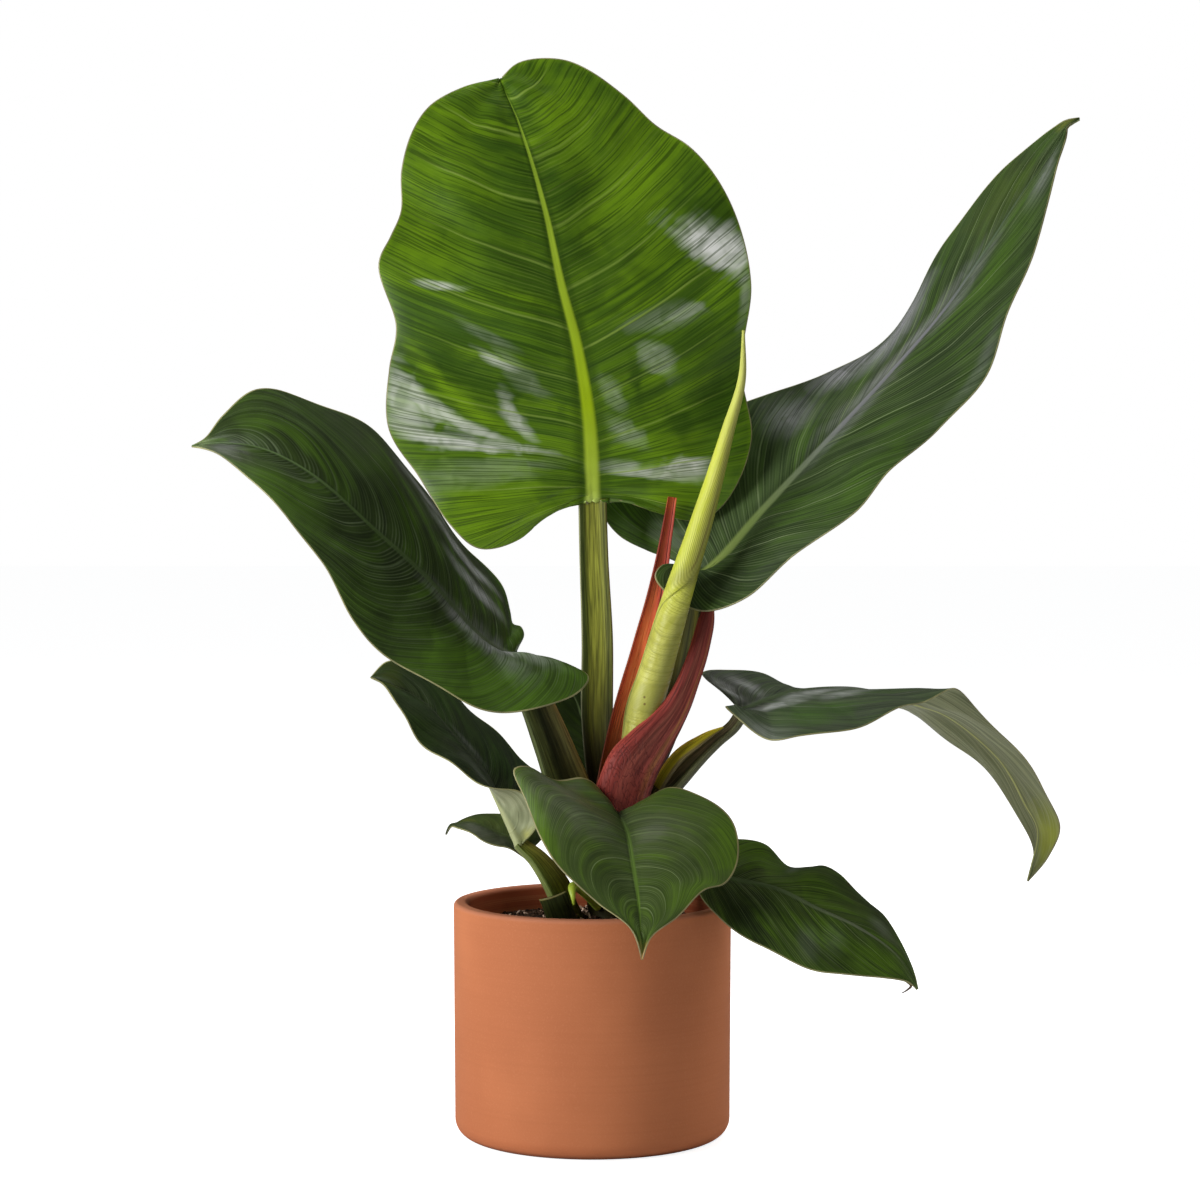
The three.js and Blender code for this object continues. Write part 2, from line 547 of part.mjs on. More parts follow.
function boxesMeet(a, b) {
  return [0, 1, 2].every((axis) => a.min[axis] < b.max[axis] && b.min[axis] < a.max[axis]);
}

// Pieces in order of rank: each is cut back to stand clear of the ones before it
function pieces() {
  const list = [
    { name: "pot", colour: 0xb5633d, build: potGeometry },
    { name: "stem", colour: 0x6b6a30, build: stemGeometry },
  ];
  for (const leaf of LEAVES) {
    const build = (grow) => bladeGeometry(leaf, grow);
    list.push({ name: `${leaf.name}_blade`, colour: leaf.colour, build });
  }
  list.push({ name: "rolled_new_leaf", colour: 0xb5c25a, build: spearGeometry });
  for (const leaf of LEAVES) {
    const build = (grow) => stalkGeometry(leaf.stalk, grow);
    list.push({ name: `${leaf.name}_stalk`, colour: STALK_COLOUR, build });
  }
  list.push(
    { name: "front_sheath", colour: 0x6e2a2c, build: (grow) => troughGeometry(FRONT_SHEATH, grow) },
    { name: "back_sheath", colour: 0x9c3d22, build: (grow) => troughGeometry(BACK_SHEATH, grow) },
    { name: "old_sheath_stub", colour: 0x3c4420, build: (grow) => troughGeometry(STUB, grow) },
    { name: "sprout", colour: 0xa9bf3c, build: sproutGeometry },
    { name: "soil", colour: 0x2a1d16, build: soilGeometry },
  );
  return list;
}

const SMOOTH = { roughness: 0.4, metalness: 0 };
const MATTE = { roughness: 0.85, metalness: 0 };
const MATTE_PIECES = ["pot", "soil"];

const plant = new THREE.Group();
const earlier = [];
for (const piece of pieces()) {
  let solid = toManifold(piece.build(0));
  for (const other of earlier) {
    if (boxesMeet(solid.boundingBox(), other.boundingBox())) solid = solid.subtract(other);
  }
  solid = largestBody(solid);
  if (!MATTE_PIECES.includes(piece.name)) earlier.push(toManifold(piece.build(GAP)).add(solid));
  const finish = MATTE_PIECES.includes(piece.name) ? MATTE : SMOOTH;
  const material = new THREE.MeshStandardMaterial({ color: piece.colour, ...finish });
  const mesh = new THREE.Mesh(fromManifold(solid), material);
  mesh.name = piece.name;
  plant.add(mesh);
}

export default plant;
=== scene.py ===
"""The looks of a potted imperial green philodendron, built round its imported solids.

Tables of places are in millimetres, in the same frame as the solids; meshes are in metres.
"""
import math

import bpy
import numpy as np
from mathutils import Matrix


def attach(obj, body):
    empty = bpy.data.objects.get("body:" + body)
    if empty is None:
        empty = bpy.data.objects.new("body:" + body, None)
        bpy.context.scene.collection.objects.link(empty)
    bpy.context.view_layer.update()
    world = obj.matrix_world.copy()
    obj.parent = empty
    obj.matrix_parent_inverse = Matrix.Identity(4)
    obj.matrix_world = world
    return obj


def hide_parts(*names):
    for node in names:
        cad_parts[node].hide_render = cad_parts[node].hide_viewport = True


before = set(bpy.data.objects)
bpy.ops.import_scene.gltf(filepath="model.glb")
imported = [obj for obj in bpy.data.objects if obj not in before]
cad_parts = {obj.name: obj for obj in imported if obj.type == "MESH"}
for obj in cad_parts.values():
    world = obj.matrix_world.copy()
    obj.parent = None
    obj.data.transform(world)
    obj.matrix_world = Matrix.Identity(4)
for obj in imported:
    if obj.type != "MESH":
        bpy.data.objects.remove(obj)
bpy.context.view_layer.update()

MM = 0.001
QUARTER = math.pi / 2

# The camera of the photograph: metres, degrees, and millimetres of lens on a 36 mm frame
CAMERA_PLACE = (0.00466, -2.0, 0.427)
CAMERA_PITCH_DOWN = 2.82
CAMERA_LENS = 98.4

# Pot
POT_RADIUS = 85
POT_FOOT_RADIUS = 84.3
POT_HEIGHT = 144
POT_WALL = 9
POT_FLOOR = 10
POT_LIP_ROUND = 2.6
POT_FOOT_ROUND = 11
POT_BASE_RING = 40
POT_SIDES = 160

# Soil
SOIL_TOP = 129
SOIL_MOUND = 7
SOIL_MOUND_SPREAD = 1100
SOIL_LUMPS = 1.6
SOIL_FINE_LUMPS = 0.7
SOIL_GAP = 0.1
SOIL_LIFT = 0.3
SOIL_RINGS = 90
SOIL_SIDES = 220

# Crumbs and slivers: the rings and sides of the patch they lie on, its radii, their largest turns and shapes
STREWN_GRID = (24, 96)
STREWN_RADII = (6, 73)
STREWN_TURN = (0.9, 0.9, 2 * math.pi)
STREWN_SHAPES = {"lump": (1.0, 0.8, 0.65), "sliver": (3.6, 0.5, 0.35)}

# Stem
STEM_X = 11
STEM_RADIUS = 14
STEM_FOOT = 96
STEM_TOP = 204
STEM_SHOULDER = 190
STEM_SIDES = 48

# Blades
BLADE_HALF = 0.6
EDGE_HALF = 0.3
EDGE_THINNING = 6
RIB_ABOVE = 1.0
RIB_BELOW = 2.6
RIB_END_WIDTH = 1.6
FIRST_ROW = 0.022
LAST_ROW = 0.996
ROW_CROWDING = 1.25
VEIN_SWEEP = 0.3
RIB_COLUMNS = 5
MARGIN_WIDTH = 0.65
SWELL_SIZES = (1.0, 0.7, 0.45)
FIRST_SEED = 11
UPPER, UNDER, MARGIN = range(3)

# Stalks and sheaths
STALK_RINGS = 70
STALK_SIDES = 60
SHEATH_WALL = 1.5

# Studio. A light has its place and size in metres, its power in watts, and whether gloss mirrors it
WHITE = (1.0, 1.0, 1.0, 1.0)
SKY_TONE = (0.97, 0.985, 1.0, 1.0)
FLOOR_TONE = (0.8, 0.8, 0.8, 1.0)
FLOOR_CORNERS = [[-6000, -4000, 0], [6000, -4000, 0], [6000, 9000, 0], [-6000, 9000, 0]]
FLOOR_GLOW = 0.86
WORLD_LIGHT = 0.16
WORLD_MIRRORED = 0.05
LIGHT_TARGET = (0.0, 0.0, 0.36)
LIGHTS = {
    "key_light": ((-1.85, -1.2, 0.95), (1.0, 1.5), 46.0, True),
    "rim_light": ((1.9, 0.5, 0.8), (0.5, 1.4), 9.0, False),
    "top_light": ((0.2, 0.9, 1.9), (1.4, 0.8), 22.0, False),
}

# Each leaf has a base where the stalk meets the rib, a tip, and three lines between them:
# the rib and the two margins, left and right as seen from above with the tip ahead. grid is the number of
# rows along the blade and of columns on each side of its rib
LEAVES = [
    {
        "name": "leaf_upright", "grid": (170, 28), "swells": 13, "ribWidth": 15, "fan": 1.75, "crown": 0.05,
        "waves": 5, "waveHeight": 3.5, "wavePhase": 0.4, "up": [0, -1, 0.3], "quilt": 1.0,
        "base": [0, 10, 388], "tip": [-59, 96, 655],
        "rib": [[-2, 13, 438], [-9, 18, 482], [-19, 26, 521], [-29, 40, 567], [-44, 64, 618]],
        "left": [[-16, 9, 388], [-28, 6, 381], [-44, 1, 366], [-69, -3, 360], [-87, 1, 374],
                 [-107, 9, 405], [-125, 14, 433], [-125, 22, 469], [-121, 24, 497],
                 [-132, 32, 533], [-125, 37, 551], [-119, 43, 568], [-119, 54, 595],
                 [-112, 66, 620], [-101, 75, 637], [-82, 86, 649]],
        "right": [[17, 10, 389], [38, 13, 382], [66, 15, 377], [83, 17, 389], [98, 22, 426],
                  [92, 28, 472], [98, 32, 522], [89, 46, 566], [62, 62, 608], [39, 71, 625],
                  [19, 80, 643], [-18, 94, 667], [-46, 98, 666]],
        "stalk": {
            "path": [[0, 11, 390], [1, 12, 352], [3, 12, 303], [3, 13, 254], [6, 12, 212], [9, 6, 186]],
            "halfWidths": [8.5, 8.8, 9.5, 9.8, 9, 7], "halfDepths": [5.5, 5.5, 6, 6.5, 6, 5],
            "face": [0, -1, 0],
        },
    },
    {
        "name": "leaf_left", "grid": (170, 28), "swells": 12, "ribWidth": 9, "fan": 1.7, "crown": 0.1,
        "waves": 5, "waveHeight": 2.2, "wavePhase": 1.5, "up": [0.2, -0.6, 0.8], "quilt": 0.7,
        "base": [-47, -15, 293], "tip": [-244, -8, 422],
        "rib": [[-63, -18, 302], [-100, -24, 343], [-131, -28, 372], [-167, -26, 404],
                [-197, -20, 420], [-225, -13, 424]],
        "left": [[-37, -20, 293], [-18, -25, 292], [-2, -30, 284], [-10, -38, 273],
                 [-37, -48, 265], [-70, -56, 268], [-112, -60, 292], [-143, -62, 320],
                 [-160, -58, 355], [-179, -54, 377], [-204, -40, 402], [-227, -20, 418]],
        "right": [[-46.8, -1, 298.8], [-43.6, 2, 302.7], [-41.9, 4, 307.5], [-43.8, 7, 312.2],
                  [-48.7, 9, 313.9], [-50.6, 12, 321], [-55, 16, 334], [-66, 22, 348],
                  [-94, 28, 379], [-120, 30, 417], [-151, 26, 441], [-181, 18, 453],
                  [-207, 8, 456], [-225, -4, 441], [-235, -8, 427]],
        "stalk": {
            "path": [[-48, -14, 294], [-35.5, -10, 268], [-24.5, -8, 240], [-15.5, -5, 216],
                     [-4, -2, 194]],
            "halfWidths": [6.5, 11.2, 13, 15, 14], "halfDepths": [4.5, 5, 6, 6, 5],
            "face": [0.5, -0.8, 0.3],
        },
    },
    {
        "name": "leaf_upper_right", "grid": (170, 28), "swells": 13, "ribWidth": 10, "fan": 1.6,
        "crown": 0.06, "waves": 6, "waveHeight": 2.2, "wavePhase": 0.2, "up": [-0.4, -0.7, 0.4], "quilt": 0.7,
        "base": [64, 10, 340], "tip": [306, 62, 627.5],
        "rib": [[80, 11, 354], [102, 15, 379], [145, 24, 425], [187, 34, 470], [220, 42, 508],
                [253, 52, 556], [266.4, 54, 576.7], [280.5, 58, 597.4], [293.2, 60, 616.2],
                [296.9, 60.5, 621.9]],
        "left": [[52, 24, 351], [33, 36, 358], [15, 44, 368], [7, 50, 381], [17, 58, 402],
                 [47, 68, 426], [80, 76, 442], [113, 80, 457], [149, 84, 467], [175, 84, 482],
                 [203, 80, 513], [223, 76, 553], [255, 75, 592], [268.8, 74, 605.3],
                 [283.3, 70, 617.8], [290.2, 66, 622.7], [294.6, 62, 625.4], [298.7, 60, 626.6]],
        "right": [[54, 3, 349], [43, -1, 350], [38, -3, 343], [46, -4, 332], [67, -8, 322],
                  [94, -14, 330], [121, -20, 357], [160, -22, 382], [179, -20, 409],
                  [210, -14, 431], [238, -4, 465], [255, 8, 504], [271, 20, 543],
                  [282.1, 32, 573.8], [288.7, 43, 598.1], [292.3, 49, 607.2], [295.1, 54, 613.8],
                  [296.3, 57, 618.5], [297, 59, 621.4]],
        "stalk": {
            "path": [[64, 13, 341], [61, 15, 315], [56, 15, 285], [46, 13, 248], [30, 8, 214],
                     [15, 3, 188]],
            "halfWidths": [6, 7, 7.5, 8, 8, 7], "halfDepths": [4.5, 5, 5.5, 6, 6, 5],
            "face": [-0.5, -0.8, 0],
        },
    },
    {
        "name": "leaf_drooping", "grid": (170, 28), "swells": 12, "ribWidth": 8, "fan": 1.6, "crown": 0.02,
        "waves": 5, "waveHeight": 2.2, "wavePhase": 2.4, "up": [0.3, 0, 1], "quilt": 0.6,
        "base": [91, 0, 260], "tip": [283, 128, 137],
        "rib": [[109, 10, 267], [128, 22, 271], [161, 45, 271], [186, 67, 265], [206, 84, 258],
                [223, 100, 251.6], [237, 110, 243], [250.6, 116, 232], [264.3, 121, 218.6],
                [272.5, 124, 206.5], [280.8, 127, 190.5], [290.4, 130, 171.8]],
        "left": [[80, 16, 271], [68, 32, 280.9], [70.6, 36, 282.1], [85.9, 44, 281.3],
                 [103.1, 52, 281.3], [110.2, 56, 279.8], [119.2, 60, 274.5], [125.2, 64, 269.1],
                 [138, 73, 266], [165, 92, 257], [201, 115, 250], [229, 127, 234],
                 [256, 133, 210], [278, 136, 181], [288, 134, 157]],
        "right": [[81, -8, 264], [88, -15, 258], [107, -27, 245], [125, -32, 247],
                  [154, -25, 252], [178, -2, 257], [200, 28, 263], [220, 54, 268],
                  [230.6, 70, 266.5], [243, 79, 256], [268, 90, 233], [289, 102, 202],
                  [303, 114, 176], [296, 122, 155]],
        "stalk": {
            "path": [[92, 1, 260], [86, 0, 251], [75, -1, 242], [64, -2, 232], [54, -2, 222],
                     [38, -2, 205], [18, 0, 184]],
            "halfWidths": [4.5, 4.8, 6.5, 9.5, 11, 10.5, 8],
            "halfDepths": [4, 4, 4.5, 5, 5.5, 5.5, 5], "face": [-0.6, -0.5, 0.6],
            "flap": {
                "path": [[80, -7, 250.7], [72.9, -8, 247.1], [64.7, -9, 241.7], [55, -9, 234.4],
                         [47.3, -8, 225.1], [41.3, -6, 213.9]],
                "halfWidths": [1.2, 4.6, 6.4, 7.2, 7.2, 6], "halfDepths": [1, 2.4, 3.4, 4, 4, 4],
                "face": [0.7, 0.5, -0.5], "spread": 1.3, "grid": (60, 20),
            },
        },
    },
    {
        "name": "leaf_mid_left", "grid": (110, 20), "swells": 9, "ribWidth": 8, "fan": 1.5, "crown": 0.08,
        "waves": 4, "waveHeight": 1.8, "wavePhase": 1.1, "up": [0.2, -0.2, 1], "quilt": 0.5,
        "base": [-44, -22, 180], "tip": [-137, 14, 280],
        "rib": [[-51, -20, 195], [-58, -17, 209], [-66, -12, 224], [-84, -5, 245], [-106, 4, 267]],
        "left": [[-35, -28, 190], [-30, -34, 202], [-41, -40, 213], [-58, -42, 218],
                 [-71, -39, 223], [-89, -33, 233], [-104, -26, 245], [-115, -16, 259],
                 [-127, 0, 276]],
        "right": [[-35, 0, 189], [-29, 18, 204], [-34, 28, 219], [-47, 33, 232], [-69, 36, 251],
                  [-89, 34, 273], [-110, 28, 286], [-126, 20, 290]],
        "stalk": {
            "path": [[-44.4, -22, 182], [-39.6, -23, 178], [-34.1, -24, 173.3],
                     [-26.8, -24, 164.1], [-22, -22, 156], [-18.4, -18, 147.4],
                     [-14.9, -10, 134.6], [-9, -6, 118]],
            "halfWidths": [4.5, 6.5, 9, 11, 11.5, 11.5, 10.5],
            "halfDepths": [4, 4.5, 5, 5.5, 6, 6, 5],
            "face": [0.6, -0.6, 0.5],
        },
    },
    {
        "name": "leaf_low_left", "grid": (110, 20), "swells": 7, "ribWidth": 5, "fan": 1.4, "crown": 0.1,
        "waves": 3, "waveHeight": 0.4, "wavePhase": 0.6, "up": [0.2, -0.3, 1], "quilt": 0.4,
        "base": [-39, 18, 172], "tip": [-90.5, 18, 182],
        "rib": [[-49.1, 17, 178.7], [-60.3, 20, 183.6], [-68.4, 22, 187.3], [-76.6, 25, 189],
                [-84.6, 23, 188], [-87.7, 20, 187.3]],
        "left": [[-33, 10, 166], [-40, 3, 169], [-51.6, -2, 176.2], [-59.6, -3, 178.4],
                 [-67.6, 0, 181], [-75.9, 8, 184.9], [-82.9, 14, 186.7], [-87.4, 18, 187]],
        "right": [[-31, 34, 180], [-40, 44, 188], [-55.5, 47, 191.9], [-69.3, 46, 192],
                  [-77.3, 41, 190.5], [-84.9, 30, 188.3], [-87.9, 22, 187.4]],
        "stalk": {
            "path": [[-39, 19, 172], [-30, 17, 159], [-18, 12, 143], [-6, 6, 122]],
            "halfWidths": [3.5, 4.5, 5, 5], "halfDepths": [3, 3.5, 4, 4], "face": [0.6, 0, 0.8],
        },
    },
    {
        "name": "leaf_front", "grid": (110, 20), "swells": 9, "ribWidth": 6, "fan": 1.5, "crown": 0.1,
        "waves": 3, "waveHeight": 1.6, "wavePhase": 0.9, "up": [0, -0.6, 0.8], "quilt": 0.6,
        "base": [15, -38, 202], "tip": [29, -120, 126],
        "rib": [[20, -50, 193], [24, -72, 175], [27, -92, 157], [28, -108, 141]],
        "left": [[22, -35, 204], [31, -30, 209], [48, -26, 217], [67, -32, 211], [84, -47, 197],
                 [87, -64, 180], [78, -82, 165], [66, -89, 162], [50, -102, 149],
                 [35, -112, 139]],
        "right": [[9, -33, 206], [3, -29, 217], [-6, -32, 223], [-22, -40, 223],
                  [-39, -50, 231], [-47, -56, 229], [-40, -62, 213], [-30, -76, 192],
                  [-19, -90, 175], [2, -103, 158], [22, -113, 144]],
        "stalk": {
            "path": [[15, -37, 201], [14, -33, 188], [12, -25, 172], [11, -12, 156]],
            "halfWidths": [4, 5, 5.5, 5.5], "halfDepths": [3.5, 4, 4.5, 4.5], "face": [0, 1, 0.5],
        },
    },
    {
        "name": "leaf_low_right", "grid": (110, 20), "swells": 9, "ribWidth": 6, "fan": 1.5, "crown": 0.08,
        "waves": 4, "waveHeight": 0.6, "wavePhase": 2.2, "up": [0.1, -0.3, 1], "quilt": 0.6,
        "base": [70, -34, 168], "tip": [194, -62, 99],
        "rib": [[83, -38, 162], [110, -44, 157], [134, -49, 146], [159, -54, 135], [180, -58, 120]],
        "left": [[64, -22, 174], [69, -10, 181], [87, -5, 182], [106, -3, 179],
                 [120.3, -4, 165.4], [132.9, -8, 165.2], [141.4, -8, 166], [151.1, -9, 161.5],
                 [161.8, -13, 151], [168.8, -17, 144.2], [176.7, -23, 137.7],
                 [186.4, -37, 123.3], [192.9, -55, 106.2]],
        "right": [[62, -38, 163], [65, -48, 153], [76, -64, 142], [90, -74, 133],
                  [110.9, -77, 121.8], [131.1, -80, 113.9], [146.3, -78, 110.9],
                  [173.5, -70, 107.6], [188.1, -64, 103.6]],
        "stalk": {
            "path": [[70, -34, 168], [55, -29, 161], [37, -20, 154], [20, -8, 148]],
            "halfWidths": [4, 5, 5.5, 5.5], "halfDepths": [3.5, 4, 4.5, 4.5], "face": [0, 0, 1],
        },
    },
    {
        "name": "leaf_back", "grid": (110, 20), "swells": 9, "ribWidth": 6, "fan": 1.5, "crown": 0.1,
        "waves": 4, "waveHeight": 2, "wavePhase": 0.3, "up": [0, -0.3, 1], "quilt": 0.6,
        "base": [6, 22, 213], "tip": [-20, 196, 266],
        "rib": [[3, 50, 226], [-4, 95, 240], [-11, 145, 254]],
        "left": [[-1, 15, 212], [-12, 15, 213], [-22, 28, 220], [-29, 58, 231], [-33, 95, 243],
                 [-31, 135, 254], [-25, 172, 262]],
        "right": [[13, 16, 212], [22, 18, 212], [28, 32, 218], [29, 60, 228], [23, 95, 239],
                  [10, 135, 249], [-6, 172, 259]],
        "stalk": {
            "path": [[6, 21, 212], [8, 15, 200], [10, 5, 182]],
            "halfWidths": [4, 5, 5], "halfDepths": [3.5, 4, 4], "face": [0, -1, 0.3],
        },
    },
]

# The rolled new leaf, tip first. seam is where the roll's outer edge runs, in degrees: 0 is its right side,
# 90 its front. Halfway down the edge sweeps over the front to the left, as a slanting collar. grid is how
# many rings a swept piece has, and how many points a ring has, or in a sheath each side of its wall
SPEAR = {
    "path": [[91, -22, 492], [90, -21, 462], [82, -19, 432], [72, -17, 396], [63, -15, 366],
             [54, -14, 338], [44, -13, 305], [37, -13, 281], [31, -12, 262], [28, -10, 240],
             [22, -6, 205]],
    "radii": [0.8, 2.5, 4, 5.5, 7, 8.2, 9, 10, 11, 10.6, 8],
    "seam": [20, 22, 24, 24, 24, 34, 176, 195, 195, 195, 195],
    "step": 0.16, "grid": (220, 96),
    "specks": [[31.4, -23, 270.8], [31.6, -23, 266.6]],
}
BACK_SHEATH = {
    "path": [[49, 4, 391], [46, 6, 371], [42, 9, 346], [37, 11, 320], [30, 10, 291], [23, 8, 266],
             [17, 5, 242], [11, 1, 214], [8, -1, 197]],
    "halfWidths": [3, 4.3, 6, 8, 9, 9.5, 9.5, 9], "halfDepths": [2.6, 3, 3.4, 4, 4.4, 4.8, 5, 5],
    "face": [0.3, -1, 0.1], "spread": 1.45, "grid": (90, 28),
}
FRONT_SHEATH = {
    "path": [[73, 8, 333], [69, 0, 314], [62, -9, 290], [50, -15, 263], [31.8, -18.8, 239.2],
             [24.9, -20, 230], [20.2, -20, 219.6], [12.5, -17, 192]],
    "halfWidths": [1.5, 6, 6.8, 7.4, 9.5, 13.5, 17.5, 17.8, 15],
    "halfDepths": [1.6, 3.6, 4.6, 5.4, 7, 9, 10.8, 11, 10],
    "face": [-0.35, 1, 0], "spread": 1.5, "grid": (90, 28),
}
STUB = {
    "path": [[-23.8, -46, 154.1], [-21.7, -44, 148.7], [-18.8, -38, 140], [-16, -32, 128]],
    "halfWidths": [9, 9.5, 10], "halfDepths": [3, 4, 4], "face": [0, 1, 0.3], "spread": 1.35,
    "grid": (40, 28),
}
SPROUT = {
    "path": [[-10.9, -50, 148.3], [-11.5, -50, 153.2], [-12.1, -46, 158], [-10.4, -38, 158.1],
             [-4.4, -26, 152.2], [4, -14, 142]],
    "radii": [0.6, 2.4, 3, 3, 3, 3], "flatness": 0.7, "face": [0, -1, 0.4], "grid": (40, 24),
}
WITHERED_TIP = {
    "path": [[187.3, -62, 104.6], [189.7, -62.5, 101.8], [187.3, -62.5, 99.2], [184.4, -62, 97.4]],
    "ends": (1.1, 0.3), "grid": (24, 12),
}

# A leaf stalk is round below, with a shallow channel between two low wings above
STALK_SECTION = [[1, 0.05], [0.97, 0.5], [0.72, 0.46], [0.35, 0.28], [-0.35, 0.28], [-0.72, 0.46],
                 [-0.97, 0.5], [-1, 0.05], [-0.78, -0.62], [-0.3, -0.95], [0.3, -0.95], [0.78, -0.62]]


# Smooth lines


class Line:
    """A smooth line through given points: the centripetal spline that the solids follow."""

    STEPS = 40
    REACH = 0.004

    def __init__(self, points):
        knots = np.array(points, float)
        before = 2 * knots[0] - knots[1]
        after = 2 * knots[-1] - knots[-2]
        padded = np.vstack([before, knots, after])
        spans = [self.span(padded[k:k + 4]) for k in range(len(knots) - 1)]
        self.points = np.vstack(spans + [knots[-1:]])
        steps = np.linalg.norm(np.diff(self.points, axis=0), axis=1)
        run = np.concatenate([[0], np.cumsum(steps)])
        self.length = run[-1]
        self.places = run / self.length

    def span(self, knots):
        gaps = np.sqrt(np.linalg.norm(np.diff(knots, axis=0), axis=1))
        a, b, c, d = knots
        start = ((b - a) / gaps[0] - (c - a) / (gaps[0] + gaps[1]) + (c - b) / gaps[1]) * gaps[1]
        end = ((c - b) / gaps[1] - (d - b) / (gaps[1] + gaps[2]) + (d - c) / gaps[2]) * gaps[1]
        t = np.linspace(0, 1, self.STEPS, endpoint=False)[:, None]
        return b + start * t + (3 * (c - b) - 2 * start - end) * t ** 2 + (2 * (b - c) + start + end) * t ** 3

    def at(self, t):
        return np.stack([np.interp(t, self.places, self.points[:, k]) for k in range(3)], -1)

    def heading(self, t):
        return unit(self.at(np.clip(t + self.REACH, 0, 1)) - self.at(np.clip(t - self.REACH, 0, 1)))


def unit(vectors):
    return vectors / np.maximum(np.linalg.norm(vectors, axis=-1, keepdims=True), 1e-9)


def along(values, t):
    """Reads a list of values spread evenly over 0..1, rounded off at its corners."""
    places = np.linspace(0, 1, len(values))
    soft = 0.02
    return sum(np.interp(np.clip(t + k * soft, 0, 1), places, values) for k in (-1, 0, 1)) / 3


def dots(a, b):
    return np.sum(a * b, axis=-1, keepdims=True)


def between(start, end, steps):
    """Points that divide a straight line evenly, without its ends."""
    start, end = np.array(start, float), np.array(end, float)
    return [start + (end - start) * k / steps for k in range(1, steps)]


def round_angles(sides):
    return np.linspace(0, 2 * math.pi, sides, endpoint=False)


def oval(sides, height=1.0):
    angles = round_angles(sides)
    return np.stack([np.cos(angles), height * np.sin(angles)], -1)


def smooth_loop(corners, count):
    """A closed smooth outline through corner points."""
    corners = np.array(corners, float)
    size = len(corners)
    t = np.arange(count) * size / count
    index = t.astype(int)
    f = (t - index)[:, None]
    a, b, c, d = (corners[(index + k) % size] for k in (-1, 0, 1, 2))
    square = (2 * a - 5 * b + 4 * c - d) * f ** 2
    cube = (3 * b - 3 * c + d - a) * f ** 3
    return 0.5 * (2 * b + (c - a) * f + square + cube)


# Meshes


def add_piece(name, points, faces, uvs=None, slots=None, attributes=None):
    """A smooth mesh object at the origin from points in mm. uvs is one pair for each point."""
    mesh = bpy.data.meshes.new(name)
    mesh.from_pydata((np.asarray(points) * MM).tolist(), [], [list(map(int, face)) for face in faces])
    if uvs is not None:
        layer = mesh.uv_layers.new(name="surface")
        corners = np.empty(len(mesh.loops), np.int32)
        mesh.loops.foreach_get("vertex_index", corners)
        layer.data.foreach_set("uv", np.asarray(uvs, np.float32)[corners].ravel())
    for key, values in (attributes or {}).items():
        made = mesh.attributes.new(key, "FLOAT", "POINT")
        made.data.foreach_set("value", np.asarray(values, np.float32).ravel())
    if slots is not None:
        mesh.polygons.foreach_set("material_index", np.asarray(slots, np.int32))
    mesh.polygons.foreach_set("use_smooth", [True] * len(mesh.polygons))
    mesh.update()
    return link_piece(name, mesh)


def link_piece(name, mesh):
    piece = bpy.data.objects.new(name, mesh)
    bpy.context.collection.objects.link(piece)
    return piece


def finish_piece(piece, materials, slot, node=None):
    """Gives a piece its materials and hides the solid's node that it replaces, if there is one. Its slot is
    not used.
    """
    for material in materials:
        piece.data.materials.append(material)
    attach(piece, "root")
    if node:
        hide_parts(node)


def grid_faces(rows, columns, closed=False):
    """Quads of a grid of points, row by row. closed joins the last column to the first."""
    faces = []
    for i in range(rows - 1):
        for j in range(columns if closed else columns - 1):
            here = i * columns + j
            next_one = i * columns + (j + 1) % columns
            faces.append((here, next_one, next_one + columns, here + columns))
    return faces


def tube_faces(rings, sides):
    """Faces of a closed tube: its two end fans meet in two points that follow the points of its rings."""
    first = rings * sides
    faces = grid_faces(rings, sides, closed=True)
    faces += [((k + 1) % sides, k, first) for k in range(sides)]
    faces += [(first - sides + k, first - sides + (k + 1) % sides, first + 1) for k in range(sides)]
    return faces


# Blades


def side_shares(rib_half, lengths, columns):
    """How far along its vein each column of one side stands: close on the rib and at the margin."""
    rib_edge = np.minimum(rib_half / lengths, 0.3)[:, None]
    inner = rib_edge * np.linspace(0, 1, RIB_COLUMNS + 1)[None, 1:]
    margin = 1 - np.minimum(MARGIN_WIDTH / lengths, 0.2)[:, None]
    steps = np.linspace(0, 1, columns - RIB_COLUMNS)[None, 1:]
    outer = rib_edge + (margin - rib_edge) * steps
    return np.hstack([inner, outer, np.ones_like(rib_edge)])


def unevenness(leaf, s, u, rng):
    """The blade between its main veins rises a little, and the whole blade is never quite even."""
    side = np.where(u < 0, 0.45, 0.0)
    quilt = np.abs(np.sin(math.pi * (leaf["swells"] * s ** 0.9 + side))) ** 0.8
    reach = np.sin(math.pi * np.clip(np.abs(u), 0, 1)) ** 0.7
    height = leaf["quilt"] * quilt * reach
    for size in SWELL_SIZES:
        turns = rng.uniform(0, 2 * math.pi, 2)
        pace = rng.uniform(1.5, 3.2) / size
        lengthwise = np.sin(pace * 4.2 * s + turns[0])
        crosswise = np.sin(pace * 2.1 * u + turns[1])
        height = height + leaf["quilt"] * size * reach * lengthwise * crosswise
    return height


def surface_normals(surface):
    down_rows = np.gradient(surface, axis=0)
    across = np.gradient(surface, axis=1)
    return unit(np.cross(across, down_rows))


def both_sides(left, middle, right):
    """Rows that run from the left margin over the rib to the right margin. Each side starts at the rib."""
    return np.concatenate([left[:, ::-1], middle[:, None], right], axis=1)


